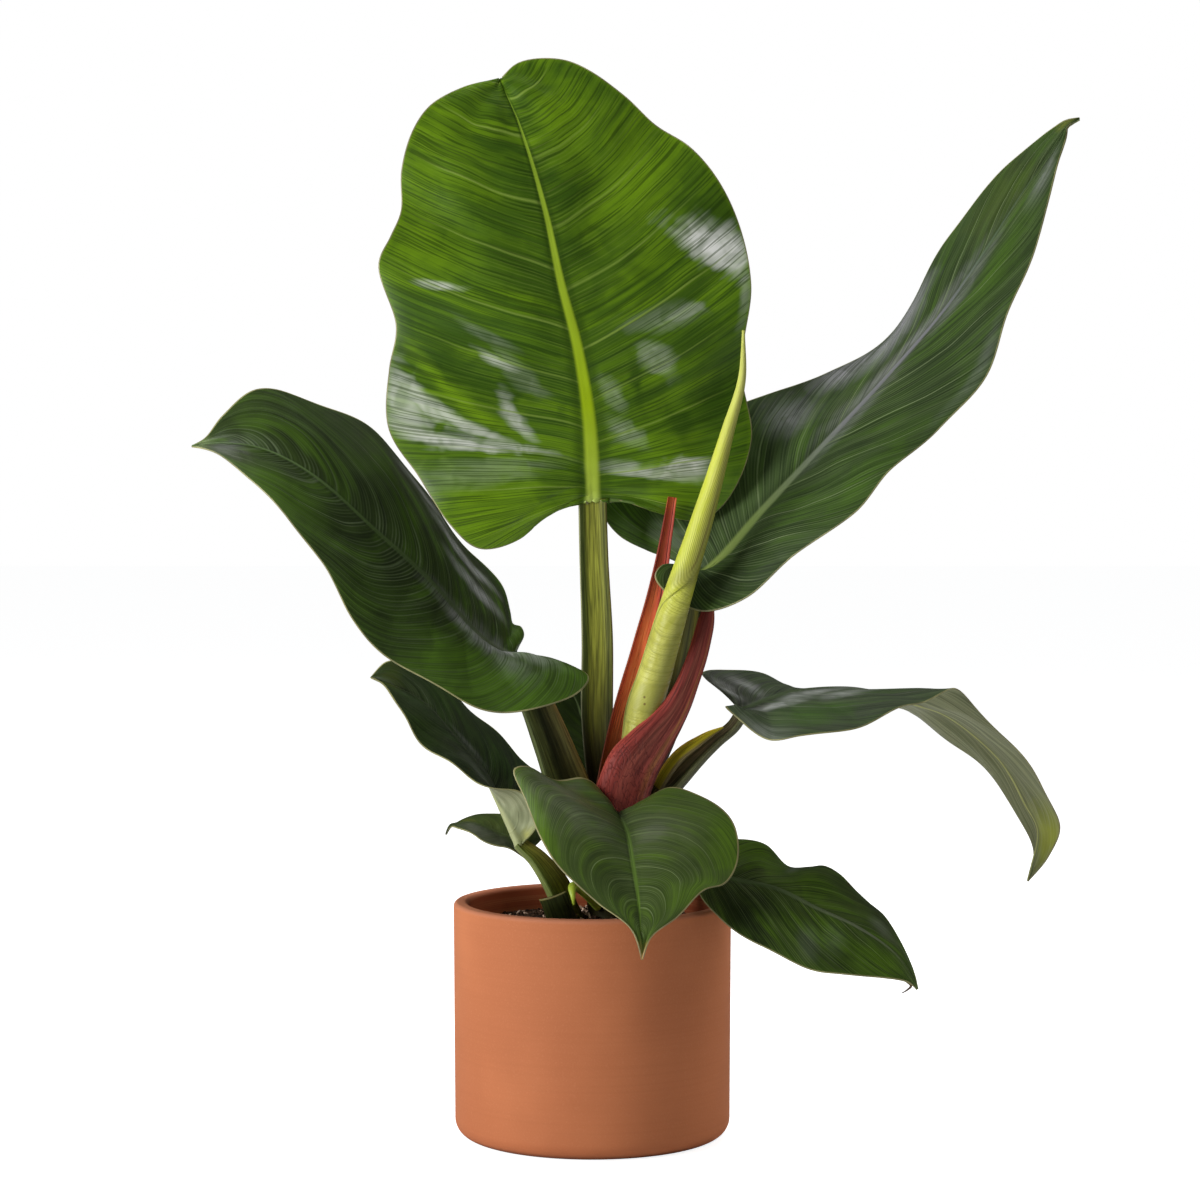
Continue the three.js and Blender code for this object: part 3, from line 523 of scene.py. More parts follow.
def blade_surface(leaf, rng):
    """The points of a blade's middle surface, their normals, and their places along, across and off it."""
    row_count, columns = leaf["grid"]
    rib = Line([leaf["base"], *leaf["rib"], leaf["tip"]])
    s = FIRST_ROW + (LAST_ROW - FIRST_ROW) * np.linspace(0, 1, row_count) ** ROW_CROWDING
    place = s ** leaf["fan"]
    middle = rib.at(place)
    forward = rib.heading(place)
    ends = [Line([leaf["base"], *leaf[side], leaf["tip"]]).at(s) for side in ("left", "right")]
    normal = unit(np.cross(ends[1] - ends[0], forward))
    normal = unit(normal * s[:, None] + unit(np.array(leaf["up"], float)) * (1 - s[:, None]))
    rib_half = (leaf["ribWidth"] + (RIB_END_WIDTH - leaf["ribWidth"]) * place ** 0.85) / 2
    swing = np.sin(2 * math.pi * leaf["waves"] * s + leaf["wavePhase"])
    wave = leaf["waveHeight"] * swing * np.sin(math.pi * s)
    sides, shares, off_ribs, off_margins = [], [], [], []
    for end in ends:
        reach = end - middle
        length = np.linalg.norm(reach, axis=1)
        control = middle + reach * 0.5 - VEIN_SWEEP * dots(reach, forward) * forward
        control = control + leaf["crown"] * length[:, None] * normal
        u = side_shares(rib_half, length, columns)
        w = u[:, :, None]
        points = (1 - w) ** 2 * middle[:, None] + 2 * w * (1 - w) * control[:, None] + w ** 2 * end[:, None]
        sides.append(points + (wave[:, None] * u ** 2)[:, :, None] * normal[:, None])
        shares.append(u)
        off_ribs.append(u * length[:, None])
        off_margins.append((1 - u) * length[:, None])
    zero = np.zeros(row_count)
    left_length = np.linalg.norm(ends[0] - middle, axis=1)
    surface = both_sides(sides[0], middle, sides[1])
    u = both_sides(-shares[0], zero, shares[1])
    rib_share = both_sides(off_ribs[0], zero, off_ribs[1]) / rib_half[:, None]
    off_margin = both_sides(off_margins[0], left_length, off_margins[1])
    height = unevenness(leaf, s[:, None], u, rng)
    surface = surface + height[:, :, None] * surface_normals(surface)
    return surface, surface_normals(surface), s, u, rib_share, off_margin


def rim_faces(row_count, width):
    """The margin between the upper side and the underside, whose points come after the upper side's."""
    count = row_count * width
    rim = list(range(width))
    rim += [i * width + width - 1 for i in range(1, row_count)]
    rim += [(row_count - 1) * width + j for j in range(width - 2, -1, -1)]
    rim += [i * width for i in range(row_count - 2, 0, -1)]
    return [(after, here, here + count, after + count) for here, after in zip(rim, rim[1:] + rim[:1])]


def add_blade(leaf, materials, seed):
    """One closed blade. Its materials are the upper side, the underside and the pale margin."""
    name = leaf["name"]
    surface, normals, s, u, rib_share, off_margin = blade_surface(leaf, np.random.default_rng(seed))
    row_count, width = u.shape
    count = row_count * width
    taper = (1 - np.linspace(0, 1, row_count))[:, None]
    ridge = 0.5 + 0.5 * np.cos(math.pi * np.clip(rib_share, 0, 1))
    half = EDGE_HALF + (BLADE_HALF - EDGE_HALF) * np.clip(off_margin / EDGE_THINNING, 0, 1)
    above = surface + normals * (half + RIB_ABOVE * taper * ridge)[:, :, None]
    below = surface - normals * (half + RIB_BELOW * taper * ridge)[:, :, None]
    points = np.concatenate([above.reshape(-1, 3), below.reshape(-1, 3)])
    upper = grid_faces(row_count, width)
    lower = [(a + count, d + count, c + count, b + count) for a, b, c, d in upper]
    edge = rim_faces(row_count, width)
    at_margin = [face[0] % width in (0, width - 2) for face in upper]
    slots = [MARGIN if k else side for side in (UPPER, UNDER) for k in at_margin] + [MARGIN] * len(edge)
    uv = np.stack([u * 0.5 + 0.5, np.broadcast_to(s[:, None], u.shape)], -1).reshape(-1, 2)
    piece = add_piece(
        name + "_blade_fine", points, upper + lower + edge, np.vstack([uv, uv]), slots,
        {"rib_share": np.tile(rib_share.ravel(), 2), "margin_mm": np.tile(off_margin.ravel(), 2)})
    finish_piece(piece, materials, "bright_leaf" if name == "leaf_upright" else "dark_leaf", name + "_blade")


# Swept pieces: stalks, sheaths, the rolled leaf and the sprout


def sweep(path, face, rings, section_at):
    """Points of a section swept along a path, [ring, side], and the length of the path."""
    line = Line(path)
    t = np.linspace(0, 1, rings)
    forward = line.heading(t)
    across = unit(np.cross(unit(np.array(face, float)), forward))
    up = np.cross(forward, across)
    sections = np.stack([section_at(value) for value in t])
    points = line.at(t)[:, None] + sections[..., :1] * across[:, None] + sections[..., 1:] * up[:, None]
    return points, line.length


def swept_body(points, length):
    """Closes a swept tube with a fan at each end. u goes round it, v along it in shares of its length."""
    rings, sides = points.shape[:2]
    flat = np.concatenate([points.reshape(-1, 3), points[0].mean(0)[None], points[-1].mean(0)[None]])
    around = np.tile(np.arange(sides) / sides, rings)
    lengthwise = np.repeat(np.linspace(0, 1, rings), sides)
    uv = np.vstack([np.stack([around, lengthwise], -1), [[0.5, 0], [0.5, 1]]])
    return flat, tube_faces(rings, sides), uv, uv[:, 1] * length


def add_swept(name, *tubes):
    """One object of closed swept tubes. Each tube is its points and length; its number is its material."""
    points, faces, uvs, down, slots = [], [], [], [], []
    for slot, tube in enumerate(tubes):
        flat, closed, uv, depth = swept_body(*tube)
        start = sum(map(len, points))
        faces += [tuple(corner + start for corner in face) for face in closed]
        slots += [slot] * len(closed)
        points.append(flat)
        uvs.append(uv)
        down.append(depth)
    uvs = np.vstack(uvs)
    place = {"around": uvs[:, 0], "down_mm": np.concatenate(down)}
    return add_piece(name, np.vstack(points), faces, uvs, slots, place)


def half_size(shape, t):
    return np.array([along(shape["halfWidths"], t), along(shape["halfDepths"], t)])


def add_stalk(leaf, materials):
    """A leaf stalk. The drooping leaf's stalk also carries the flap that once wrapped its neighbour."""
    stalk = leaf["stalk"]
    loop = smooth_loop(STALK_SECTION, STALK_SIDES)
    tubes = [sweep(stalk["path"], stalk["face"], STALK_RINGS, lambda t: loop * half_size(stalk, t))]
    if "flap" in stalk:
        tubes.append(trough(stalk["flap"]))
    piece = add_swept(leaf["name"] + "_stalk_fine", *tubes)
    finish_piece(piece, materials, "stalk", leaf["name"] + "_stalk")


def trough(shape):
    """A half-open sheath: thin at its free edges, and drawn to a point where its width runs out."""
    rings, arc = shape["grid"]
    angles = np.linspace(-shape["spread"], shape["spread"], arc)
    facing = np.stack([np.sin(angles), -np.cos(angles)], -1)
    round_edge = 1 - 0.55 * (np.abs(angles) / shape["spread"])[:, None] ** 6

    def section(t):
        wall = SHEATH_WALL * min(1, 0.45 + 4 * t)
        outer = half_size(shape, t)
        inner = np.maximum(outer - wall, outer * 0.35)
        middle = (outer + inner) / 2
        half = (outer - inner) / 2
        far = (middle + half * round_edge) * facing
        near = (middle - half * round_edge) * facing
        return np.vstack([far, near[::-1]])

    return sweep(shape["path"], shape["face"], rings, section)


def add_trough(name, shape, material, node, slot):
    finish_piece(add_swept(name, trough(shape)), [material], slot, node)


def add_spear(material):
    """The rolled new leaf: a spiral section, whose outer edge stands off as a step."""
    rings, sides = SPEAR["grid"]
    share = np.linspace(1, 0, sides)
    lip = np.clip((share - 0.93) / 0.07, 0, 1) ** 2
    swell = 1 + SPEAR["step"] * (share - 0.5) - 0.3 * SPEAR["step"] * lip

    def section(t):
        size = along(SPEAR["radii"], t) * swell
        angle = math.radians(along(SPEAR["seam"], t)) - 2 * math.pi * share
        return np.stack([size * np.cos(angle), size * np.sin(angle)], -1)

    piece = add_swept("rolled_new_leaf_fine", sweep(SPEAR["path"], [0, -1, 0], rings, section))
    finish_piece(piece, [material], "new_leaf", "rolled_new_leaf")


def add_sprout(material):
    rings, sides = SPROUT["grid"]
    section = oval(sides, SPROUT["flatness"])
    tube = sweep(SPROUT["path"], SPROUT["face"], rings, lambda t: section * along(SPROUT["radii"], t))
    finish_piece(add_swept("sprout_fine", tube), [material], "new_leaf", "sprout")


def add_withered_tip(material):
    """The dry curl that hangs beside the tip of the low right leaf."""
    rings, sides = WITHERED_TIP["grid"]
    section = oval(sides)
    thick, thin = WITHERED_TIP["ends"]
    tube = sweep(WITHERED_TIP["path"], [0, -1, 0], rings, lambda t: section * (thick - (thick - thin) * t))
    finish_piece(add_swept("low_right_withered_tip", tube), [material], "dark_leaf")


# Turned pieces: pot, stem and soil


def arc_points(centre_radius, centre_height, radius, start, end, steps):
    angles = np.linspace(start, end, steps + 1)
    return [[centre_radius + radius * math.cos(a), centre_height + radius * math.sin(a)] for a in angles]


def add_turned(name, profile, sides, centre_x=0, shape=None):
    """Turns a profile of [radius, height] pairs, which starts and ends on the axis, into a closed body."""
    profile = np.array(profile, float)
    angles = round_angles(sides)
    ring = profile[1:-1]
    points = np.stack([ring[:, :1] * np.cos(angles), ring[:, :1] * np.sin(angles),
                       np.repeat(ring[:, 1:], sides, axis=1)], -1)
    if shape:
        points = shape(points)
    flat = points.reshape(-1, 3)
    last_height = flat[-sides:, 2].mean()
    flat = np.vstack([flat, [[0, 0, profile[0, 1]], [0, 0, last_height]]])
    flat[:, 0] += centre_x
    return add_piece(name, flat, tube_faces(len(ring), sides))


def add_pot(material):
    inner = POT_RADIUS - POT_WALL
    floor_round = POT_FLOOR + POT_WALL
    lip = POT_HEIGHT - POT_LIP_ROUND
    profile = [
        [0, 0], [POT_BASE_RING, 0],
        *arc_points(POT_FOOT_RADIUS - POT_FOOT_ROUND, POT_FOOT_ROUND, POT_FOOT_ROUND, -QUARTER, 0, 12),
        *between([POT_FOOT_RADIUS, POT_FOOT_ROUND], [POT_RADIUS, lip], 24),
        *arc_points(POT_RADIUS - POT_LIP_ROUND, lip, POT_LIP_ROUND, 0, QUARTER, 8),
        *arc_points(inner + POT_LIP_ROUND, lip, POT_LIP_ROUND, QUARTER, 2 * QUARTER, 8),
        *between([inner, lip], [inner, floor_round], 10),
        *arc_points(inner - POT_WALL, floor_round, POT_WALL, 0, -QUARTER, 6),
        [0, POT_FLOOR],
    ]
    finish_piece(add_turned("pot_fine", profile, POT_SIDES), [material], "terracotta", "pot")


def soil_height(x, y, share):
    """The mound round the stem, with broad and fine lumps that die away at the pot's wall."""
    mound = SOIL_MOUND * np.exp(-((x - STEM_X) ** 2 + y ** 2) / SOIL_MOUND_SPREAD)
    lumps = np.sin(0.43 * x + 1.3 * np.sin(0.31 * y)) * np.cos(0.47 * y + np.sin(0.29 * x))
    fine = np.sin(1.9 * x + 2 * np.sin(0.9 * y)) * np.sin(2.1 * y + 1.7 * np.sin(1.1 * x))
    inside = np.minimum(1, 3 * (1 - share))
    return SOIL_TOP + mound + (SOIL_LUMPS * lumps + SOIL_FINE_LUMPS * fine) * inside


def add_soil(material):
    radius = POT_RADIUS - POT_WALL - SOIL_GAP
    foot = POT_FLOOR + SOIL_LIFT

    def lumpy(points):
        x, y, z = np.moveaxis(points, -1, 0)
        points[..., 2] = np.where(z == SOIL_TOP, soil_height(x, y, np.hypot(x, y) / radius), z)
        return points

    profile = [[0, foot], *arc_points(radius - POT_WALL, foot + POT_WALL, POT_WALL, -QUARTER, 0, 4),
               *[[radius * k / SOIL_RINGS, SOIL_TOP] for k in range(SOIL_RINGS, 0, -1)], [0, SOIL_TOP]]
    finish_piece(add_turned("soil_fine", profile, SOIL_SIDES, shape=lumpy), [material], "soil", "soil")


def add_stem(material):
    heights = range(STEM_FOOT + 6, STEM_SHOULDER, 3)
    ringed = [[STEM_RADIUS * (1 + 0.03 * math.sin(height * 0.45)), height] for height in heights]
    profile = [[0, STEM_FOOT], [0.8 * STEM_RADIUS, STEM_FOOT], *ringed,
               *arc_points(0, STEM_TOP - STEM_RADIUS, STEM_RADIUS, 0.05, 0.95 * QUARTER, 8), [0, STEM_TOP]]
    piece = add_turned("stem_fine", profile, STEM_SIDES, centre_x=STEM_X)
    finish_piece(piece, [material], "stalk", "stem")


# Nodes


class Value:
    """A number that varies over a surface. Arithmetic with it adds Math nodes to its tree."""

    def __init__(self, tree, socket):
        self.tree = tree
        self.socket = socket

    def __add__(self, other):
        return calc(self.tree, "ADD", self, other)

    def __sub__(self, other):
        return calc(self.tree, "SUBTRACT", self, other)

    def __rsub__(self, other):
        return calc(self.tree, "SUBTRACT", other, self)

    def __mul__(self, other):
        return calc(self.tree, "MULTIPLY", self, other)

    def __truediv__(self, other):
        return calc(self.tree, "DIVIDE", self, other)

    def __abs__(self):
        return calc(self.tree, "ABSOLUTE", self)

    def fade(self, low, high, start=0.0, end=1.0, kind="SMOOTHSTEP"):
        """Goes from start to end as the value goes from low to high, and stays there beyond them."""
        places = {"Value": self, "From Min": low, "From Max": high, "To Min": start, "To Max": end}
        node = add(self.tree, "ShaderNodeMapRange", places, interpolation_type=kind)
        return Value(self.tree, node.outputs[0])


def put(tree, node, inputs):
    """Sets a node's inputs, or links them where the value is another node's output."""
    for key, value in inputs.items():
        value = getattr(value, "socket", value)
        if isinstance(value, bpy.types.NodeSocket):
            tree.links.new(value, node.inputs[key])
        else:
            node.inputs[key].default_value = value


def add(tree, kind, inputs=None, **settings):
    """Adds a node, sets its options, and sets or links its inputs."""
    node = tree.nodes.new(kind)
    for key, value in settings.items():
        setattr(node, key, value)
    put(tree, node, inputs or {})
    return node


def calc(tree, operation, *values):
    return Value(tree, add(tree, "ShaderNodeMath", dict(enumerate(values)), operation=operation).outputs[0])


def pick(tree, share, first, second):
    mix = add(tree, "ShaderNodeMix", {0: share, 2: first, 3: second}, data_type="FLOAT")
    return Value(tree, mix.outputs[0])


def blend(tree, share, first, second, kind="MIX"):
    mix = add(tree, "ShaderNodeMix", {0: share, 6: first, 7: second}, data_type="RGBA", blend_type=kind)
    return mix.outputs[2]


def vector(tree, x, y, z):
    return add(tree, "ShaderNodeCombineXYZ", {0: x, 1: y, 2: z}).outputs[0]


def parts(tree, place):
    return [Value(tree, part) for part in add(tree, "ShaderNodeSeparateXYZ", {0: place}).outputs]


def attribute(tree, name):
    return Value(tree, add(tree, "ShaderNodeAttribute", attribute_name=name).outputs["Fac"])


def object_place(tree):
    return add(tree, "ShaderNodeTexCoord").outputs["Object"]


def stretched(tree, scale):
    return add(tree, "ShaderNodeMapping", {"Vector": object_place(tree), "Scale": scale}).outputs[0]


def noise(tree, place, scale, detail, distortion=0.0):
    inputs = {"Vector": place, "Scale": scale, "Detail": detail, "Distortion": distortion}
    return Value(tree, add(tree, "ShaderNodeTexNoise", inputs).outputs[0])


def crossing(value, width):
    """Thin lines along which a noise crosses its middle."""
    return abs(value - 0.5).fade(0.0, width, 1.0, 0.0)


def ramp(tree, value, bands):
    """Colours at places along 0..1, each band given as its place and its red, green and blue."""
    node = add(tree, "ShaderNodeValToRGB", {0: value})
    stops = node.color_ramp.elements
    for index, (place, *tone) in enumerate(bands):
        stop = stops[index] if index < 2 else stops.new(place)
        stop.position = place
        stop.color = colour(*tone)
    return node.outputs[0]


def colour(red, green, blue):
    return (red, green, blue, 1.0)


def scaled(tone, factor):
    return colour(*[factor * part for part in tone[:3]])


def new_group(name, inputs, outputs):
    tree = bpy.data.node_groups.new(name, "ShaderNodeTree")
    for label, value in inputs.items():
        socket = tree.interface.new_socket(label, in_out="INPUT", socket_type="NodeSocketFloat")
        socket.default_value = value
    for label in outputs:
        tree.interface.new_socket(label, in_out="OUTPUT", socket_type="NodeSocketFloat")
    return tree, {socket.name: Value(tree, socket) for socket in add(tree, "NodeGroupInput").outputs}


def use_group(tree, group, inputs):
    node = add(tree, "ShaderNodeGroup", inputs, node_tree=group)
    return {socket.name: Value(tree, socket) for socket in node.outputs}


class Skin:
    """A material in the making. Tones are laid over one another, each where its share says."""

    def __init__(self, name):
        self.material = bpy.data.materials.new(name)
        self.material.use_nodes = True
        self.tree = self.material.node_tree
        self.tree.nodes.clear()
        self.shader = add(self.tree, "ShaderNodeBsdfPrincipled")
        add(self.tree, "ShaderNodeOutputMaterial", {"Surface": self.shader.outputs[0]})
        self.body = None

    def start(self, first, second, share):
        self.body = blend(self.tree, share, first, second)

    def lay(self, tone, share, kind="MIX"):
        self.body = blend(self.tree, share, self.body, tone, kind)

    def finish(self, roughness, specular=0.5, height=None, strength=0.5, depth=0.5 * MM):
        put(self.tree, self.shader,
            {"Base Color": self.body, "Roughness": roughness, "Specular IOR Level": specular})
        if height:
            relief = {"Height": height, "Strength": strength, "Distance": depth}
            put(self.tree, self.shader, {"Normal": add(self.tree, "ShaderNodeBump", relief).outputs[0]})
        return self.material


# Crumbs, pale grit and bark on the soil


def scatter_tree(kind):
    """Geometry nodes that strew small lumps or slivers over a surface, as real geometry."""
    tree = bpy.data.node_groups.new("strew_" + kind, "GeometryNodeTree")
    sockets = {"Geometry": "Geometry", "Density": "Float", "Seed": "Int", "Smallest": "Float",
               "Largest": "Float", "Material": "Material"}
    for label, made_of in sockets.items():
        tree.interface.new_socket(label, in_out="INPUT", socket_type="NodeSocket" + made_of)
    tree.interface.new_socket("Geometry", in_out="OUTPUT", socket_type="NodeSocketGeometry")
    source = add(tree, "NodeGroupInput").outputs
    spread = add(tree, "GeometryNodeDistributePointsOnFaces",
                 {"Mesh": source["Geometry"], "Density": source["Density"], "Seed": source["Seed"]})
    if kind == "lump":
        ball = add(tree, "GeometryNodeMeshIcoSphere", {"Radius": 1.0, "Subdivisions": 2}).outputs["Mesh"]
        bend = add(tree, "ShaderNodeTexNoise", {"Scale": 1.4, "Detail": 1.0}).outputs["Color"]
        push = add(tree, "ShaderNodeVectorMath", {0: bend, 1: (0.5, 0.5, 0.5)}, operation="SUBTRACT")
        shape = add(tree, "GeometryNodeSetPosition", {"Geometry": ball, "Offset": push.outputs[0]}).outputs[0]
    else:
        shape = add(tree, "GeometryNodeMeshCube", {"Size": (1.0, 1.0, 1.0)}).outputs["Mesh"]
    turn = add(tree, "FunctionNodeRandomValue", {"Seed": source["Seed"]}, data_type="FLOAT_VECTOR")
    turn.inputs["Max"].default_value = STREWN_TURN
    size = add(tree, "FunctionNodeRandomValue", {2: source["Smallest"], 3: source["Largest"]},
               data_type="FLOAT")
    scale = add(tree, "ShaderNodeVectorMath", {0: STREWN_SHAPES[kind], "Scale": size.outputs[1]},
                operation="SCALE")
    placed = add(tree, "GeometryNodeInstanceOnPoints", {
        "Points": spread.outputs["Points"], "Instance": shape, "Rotation": turn.outputs[0],
        "Scale": scale.outputs[0]})
    solid = add(tree, "GeometryNodeRealizeInstances", {"Geometry": placed.outputs[0]})
    painted = add(tree, "GeometryNodeSetMaterial",
                  {"Geometry": solid.outputs[0], "Material": source["Material"]})
    add(tree, "NodeGroupOutput", {"Geometry": painted.outputs[0]})
    return tree


def soil_patch():
    """The open top of the soil, to strew things on."""
    rings, sides = STREWN_GRID
    radii = np.linspace(*STREWN_RADII, rings)
    angles = round_angles(sides)
    x = radii[:, None] * np.cos(angles)
    y = radii[:, None] * np.sin(angles)
    z = soil_height(x, y, np.hypot(x, y) / (POT_RADIUS - POT_WALL))
    points = np.stack([x, y, z], -1).reshape(-1, 3)
    return add_piece("soil_patch", points, [face[::-1] for face in grid_faces(rings, sides, closed=True)])


def strew(name, kind, material, density, seed, smallest, largest):
    """Strews lumps or slivers over the soil, so many to a square metre, and keeps them as one mesh."""
    patch = soil_patch()
    tree = scatter_tree(kind)
    modifier = patch.modifiers.new("strew", "NODES")
    modifier.node_group = tree
    values = {"Density": density, "Seed": seed, "Smallest": smallest * MM, "Largest": largest * MM,
              "Material": material}
    for item in tree.interface.items_tree:
        if item.in_out == "INPUT" and item.name in values:
            modifier[item.identifier] = values[item.name]
    bpy.context.view_layer.update()
    mesh = bpy.data.meshes.new_from_object(patch.evaluated_get(bpy.context.evaluated_depsgraph_get()))
    mesh.name = name
    piece = link_piece(name, mesh)
    patch_mesh = patch.data
    bpy.data.objects.remove(patch)
    bpy.data.meshes.remove(patch_mesh)
    finish_piece(piece, [], "soil")


# Shared patterns


def vein_group():
    """Lines and streaks of a blade, which leave the rib and bend towards the tip, and its distances."""
    tree, given = new_group("blade_veins", {
        "Left bend": 0.3, "Left change": 0.0, "Right bend": 0.3, "Right change": 0.0, "Bend power": 1.0,
        "Line count": 100.0, "Main veins": 8.0,
    }, ["Main", "Thread", "Line", "Streak", "Band", "Patch", "Rough", "Off rib", "Off margin", "U", "V"])
    u, v = parts(tree, add(tree, "ShaderNodeUVMap", uv_map="surface").outputs[0])[:2]
    signed = u * 2.0 - 1.0
    out = abs(signed)
    right = calc(tree, "GREATER_THAN", signed, 0.0)
    bend = pick(tree, right, given["Left bend"], given["Right bend"])
    change = pick(tree, right, given["Left change"], given["Right change"])
    vein = v - (change * v + bend) * calc(tree, "POWER", out, given["Bend power"])
    slow = vector(tree, signed * 2.5, vein * 9.0, right)
    vein = (noise(tree, slow, 1.0, 1.0) - 0.5) * 0.012 + vein
    count = vein * given["Line count"]

    def streaks(stretch, across, detail, side_step):
        place = vector(tree, signed * stretch, count * across, right * 7.0 + side_step)
        return noise(tree, place, 1.0, detail)

    def ruled(pace, width, weakest):
        phase = (right * 0.037 + vein) * pace
        number = vector(tree, calc(tree, "ROUND", phase), right, 0.0)
        lot = Value(tree, add(tree, "ShaderNodeTexWhiteNoise", {"Vector": number}).outputs[0])
        off_line = calc(tree, "PINGPONG", phase, 0.5) / width
        return calc(tree, "MAXIMUM", 1.0 - off_line, 0.0) * lot.fade(0.0, 1.0, weakest, 1.0)

    width = out.fade(0.0, 1.0, 0.040, 0.016, kind="LINEAR")
    place = object_place(tree)
    add(tree, "NodeGroupOutput", {
        "Main": ruled(given["Main veins"], width, 0.45) * out.fade(0.6, 1.0, 1.0, 0.0),
        "Thread": ruled(given["Line count"], 0.30, 0.15),
        "Line": streaks(1.8, 1.8, 1.0, 3.0), "Streak": streaks(1.2, 0.4, 2.0, 5.0),
        "Band": streaks(1.5, 0.1, 2.0, 9.0), "Patch": noise(tree, place, 16.0, 2.0, 0.6),
        "Rough": noise(tree, place, 60.0, 1.0, 0.8), "Off rib": attribute(tree, "rib_share"),
        "Off margin": attribute(tree, "margin_mm"), "U": signed, "V": v})
    return tree


def spot_group():
    """An oval at one place on a blade. Its ragged edge fades from its core on, and Lean slants it in v."""
    tree, given = new_group("blade_spot", {
        "U": 0.0, "V": 0.0, "Streak": 0.5, "Rough": 0.5, "Raggedness": 1.3, "Core": 0.1, "Lean": 0.0,
        "Place U": 0.0, "Place V": 0.5, "Half U": 0.1, "Half V": 0.1}, ["Share"])
    off = given["U"] - given["Place U"]
    off_u = off / given["Half U"]
    off_v = (given["V"] - (off * given["Lean"] + given["Place V"])) / given["Half V"]
    far = calc(tree, "SQRT", off_u * off_u + off_v * off_v)
    far = (given["Streak"] + given["Rough"] - 1.0) * given["Raggedness"] + far
    add(tree, "NodeGroupOutput", {"Share": far.fade(given["Core"], 1.25, 1.0, 0.0)})
    return tree


def fibre_group():
    """Long fibres that run down a swept piece, and thin threads between them."""
    tree, given = new_group("long_fibres", {"Across": 26.0, "Along": 0.02},
                            ["Fibre", "Thread", "Broad", "Around", "Down"])
    around = attribute(tree, "around")
    down = attribute(tree, "down_mm")
    turn = around * (2 * math.pi)
    radius = given["Across"] * 0.16
    place = vector(tree, calc(tree, "COSINE", turn) * radius, calc(tree, "SINE", turn) * radius,
                   down * given["Along"])
    add(tree, "NodeGroupOutput", {
        "Fibre": noise(tree, place, 2.0, 3.0), "Thread": crossing(noise(tree, place, 3.0, 0.0), 0.05),
        "Broad": noise(tree, place, 0.6, 1.0), "Around": around, "Down": down})
    return tree


# Materials


def spot_share(spot, made, place, raggedness, streakiness, core=0.1):
    """How far one spot covers a blade, from its place and half size in u and v, its strength and its lean."""
    u, v, half_u, half_v, strength, lean = (*place, 0.0)[:6]
    share = use_group(made["U"].tree, spot, {
        **{key: made[key] for key in ("U", "V", "Streak", "Rough")},
        "Raggedness": raggedness, "Core": core, "Lean": lean,
        "Place U": u, "Place V": v, "Half U": half_u, "Half V": half_v})["Share"]
    return share * made["Streak"].fade(0.38, 0.56, strength * streakiness, strength)


def lay_spots(skin, spot, made, spots, tones, raggedness, streakiness):
    for tone, *places in spots:
        for place in places:
            skin.lay(tones[tone], spot_share(spot, made, place, raggedness, streakiness))


def upper_side(name, veins, spot, look):
    """The glossy upper side of a blade: streaks and lines of its veins, its spots, its painted sheens,
    painted shade beside its rib, and its rib.
    """
    skin = Skin(name)
    tones = look["tones"]
    made = use_group(skin.tree, veins, look["veins"])
    streak, line, patch, off_rib = (made[key] for key in ("Streak", "Line", "Patch", "Off rib"))
    soft = look["softness"]
    skin.start(tones["deep"], tones["mid"], streak.fade(0.5 - soft, 0.5 + soft))
    bands = made["Band"].fade(0.44, 0.64) * look["lime"]
    skin.lay(tones["lime"], bands * streak.fade(0.42, 0.56, 0.3, 1.0))
    skin.lay(tones["lime"], patch.fade(0.5, 0.7) * (0.5 * look["lime"]))
    # Spots of tone: the grey ones are painted grey sheen, and the dark ones partly painted shade
    lay_spots(skin, spot, made, look["spots"], tones, 1.3, 0.6)
    skin.lay(tones["shade"], line.fade(0.50, 0.38, 0.0, look["dark_lines"]))
    pale = made["Thread"] * look["pale_lines"] * off_rib.fade(1.0, 12.0, 1.0, 0.55)
    skin.lay(tones["line"], pale * patch.fade(0.35, 0.6, 0.35, 1.0))
    # Painted highlights: soft sheens laid into the base colour, broken up and crossed by dark vein lines
    sheen = 0.0
    for place in look["sheens"]:
        share = spot_share(spot, made, place, look["ragged"], 0.75, look["core"])
        sheen = calc(skin.tree, "MAXIMUM", share, sheen)
    sheen = calc(skin.tree, "MULTIPLY", sheen, made["Rough"].fade(0.36, 0.56, look["broken"], 1.0))
    skin.lay(tones["sheen"], sheen * line.fade(0.40, 0.50, 0.42, 1.0))
    skin.lay(tones[look["edge_tone"]], made["Off margin"].fade(0.3, look["edge_mm"], look["pale_edge"], 0.0))
    skin.lay(tones["line"], made["Main"] * look["main"])
    # Painted shade along both sides of the raised rib
    skin.lay(tones["shade"], off_rib.fade(1.1, 2.2, 1.0, 0.0) * look["rib_shade"])
    rib = off_rib.fade(0.35, look["rib_edge"], look["rib_strength"], 0.0)
    skin.lay(ramp(skin.tree, made["V"], look["rib"]), rib)
    height = (line * 0.5 + streak * 0.5 + made["Main"] * 0.6) * off_rib.fade(0.9, 1.4)
    roughness = sheen.fade(0.0, 1.0, look["roughness"], 0.24)
    return skin.finish(roughness, look["specular"], height, 0.45, 0.4 * MM)


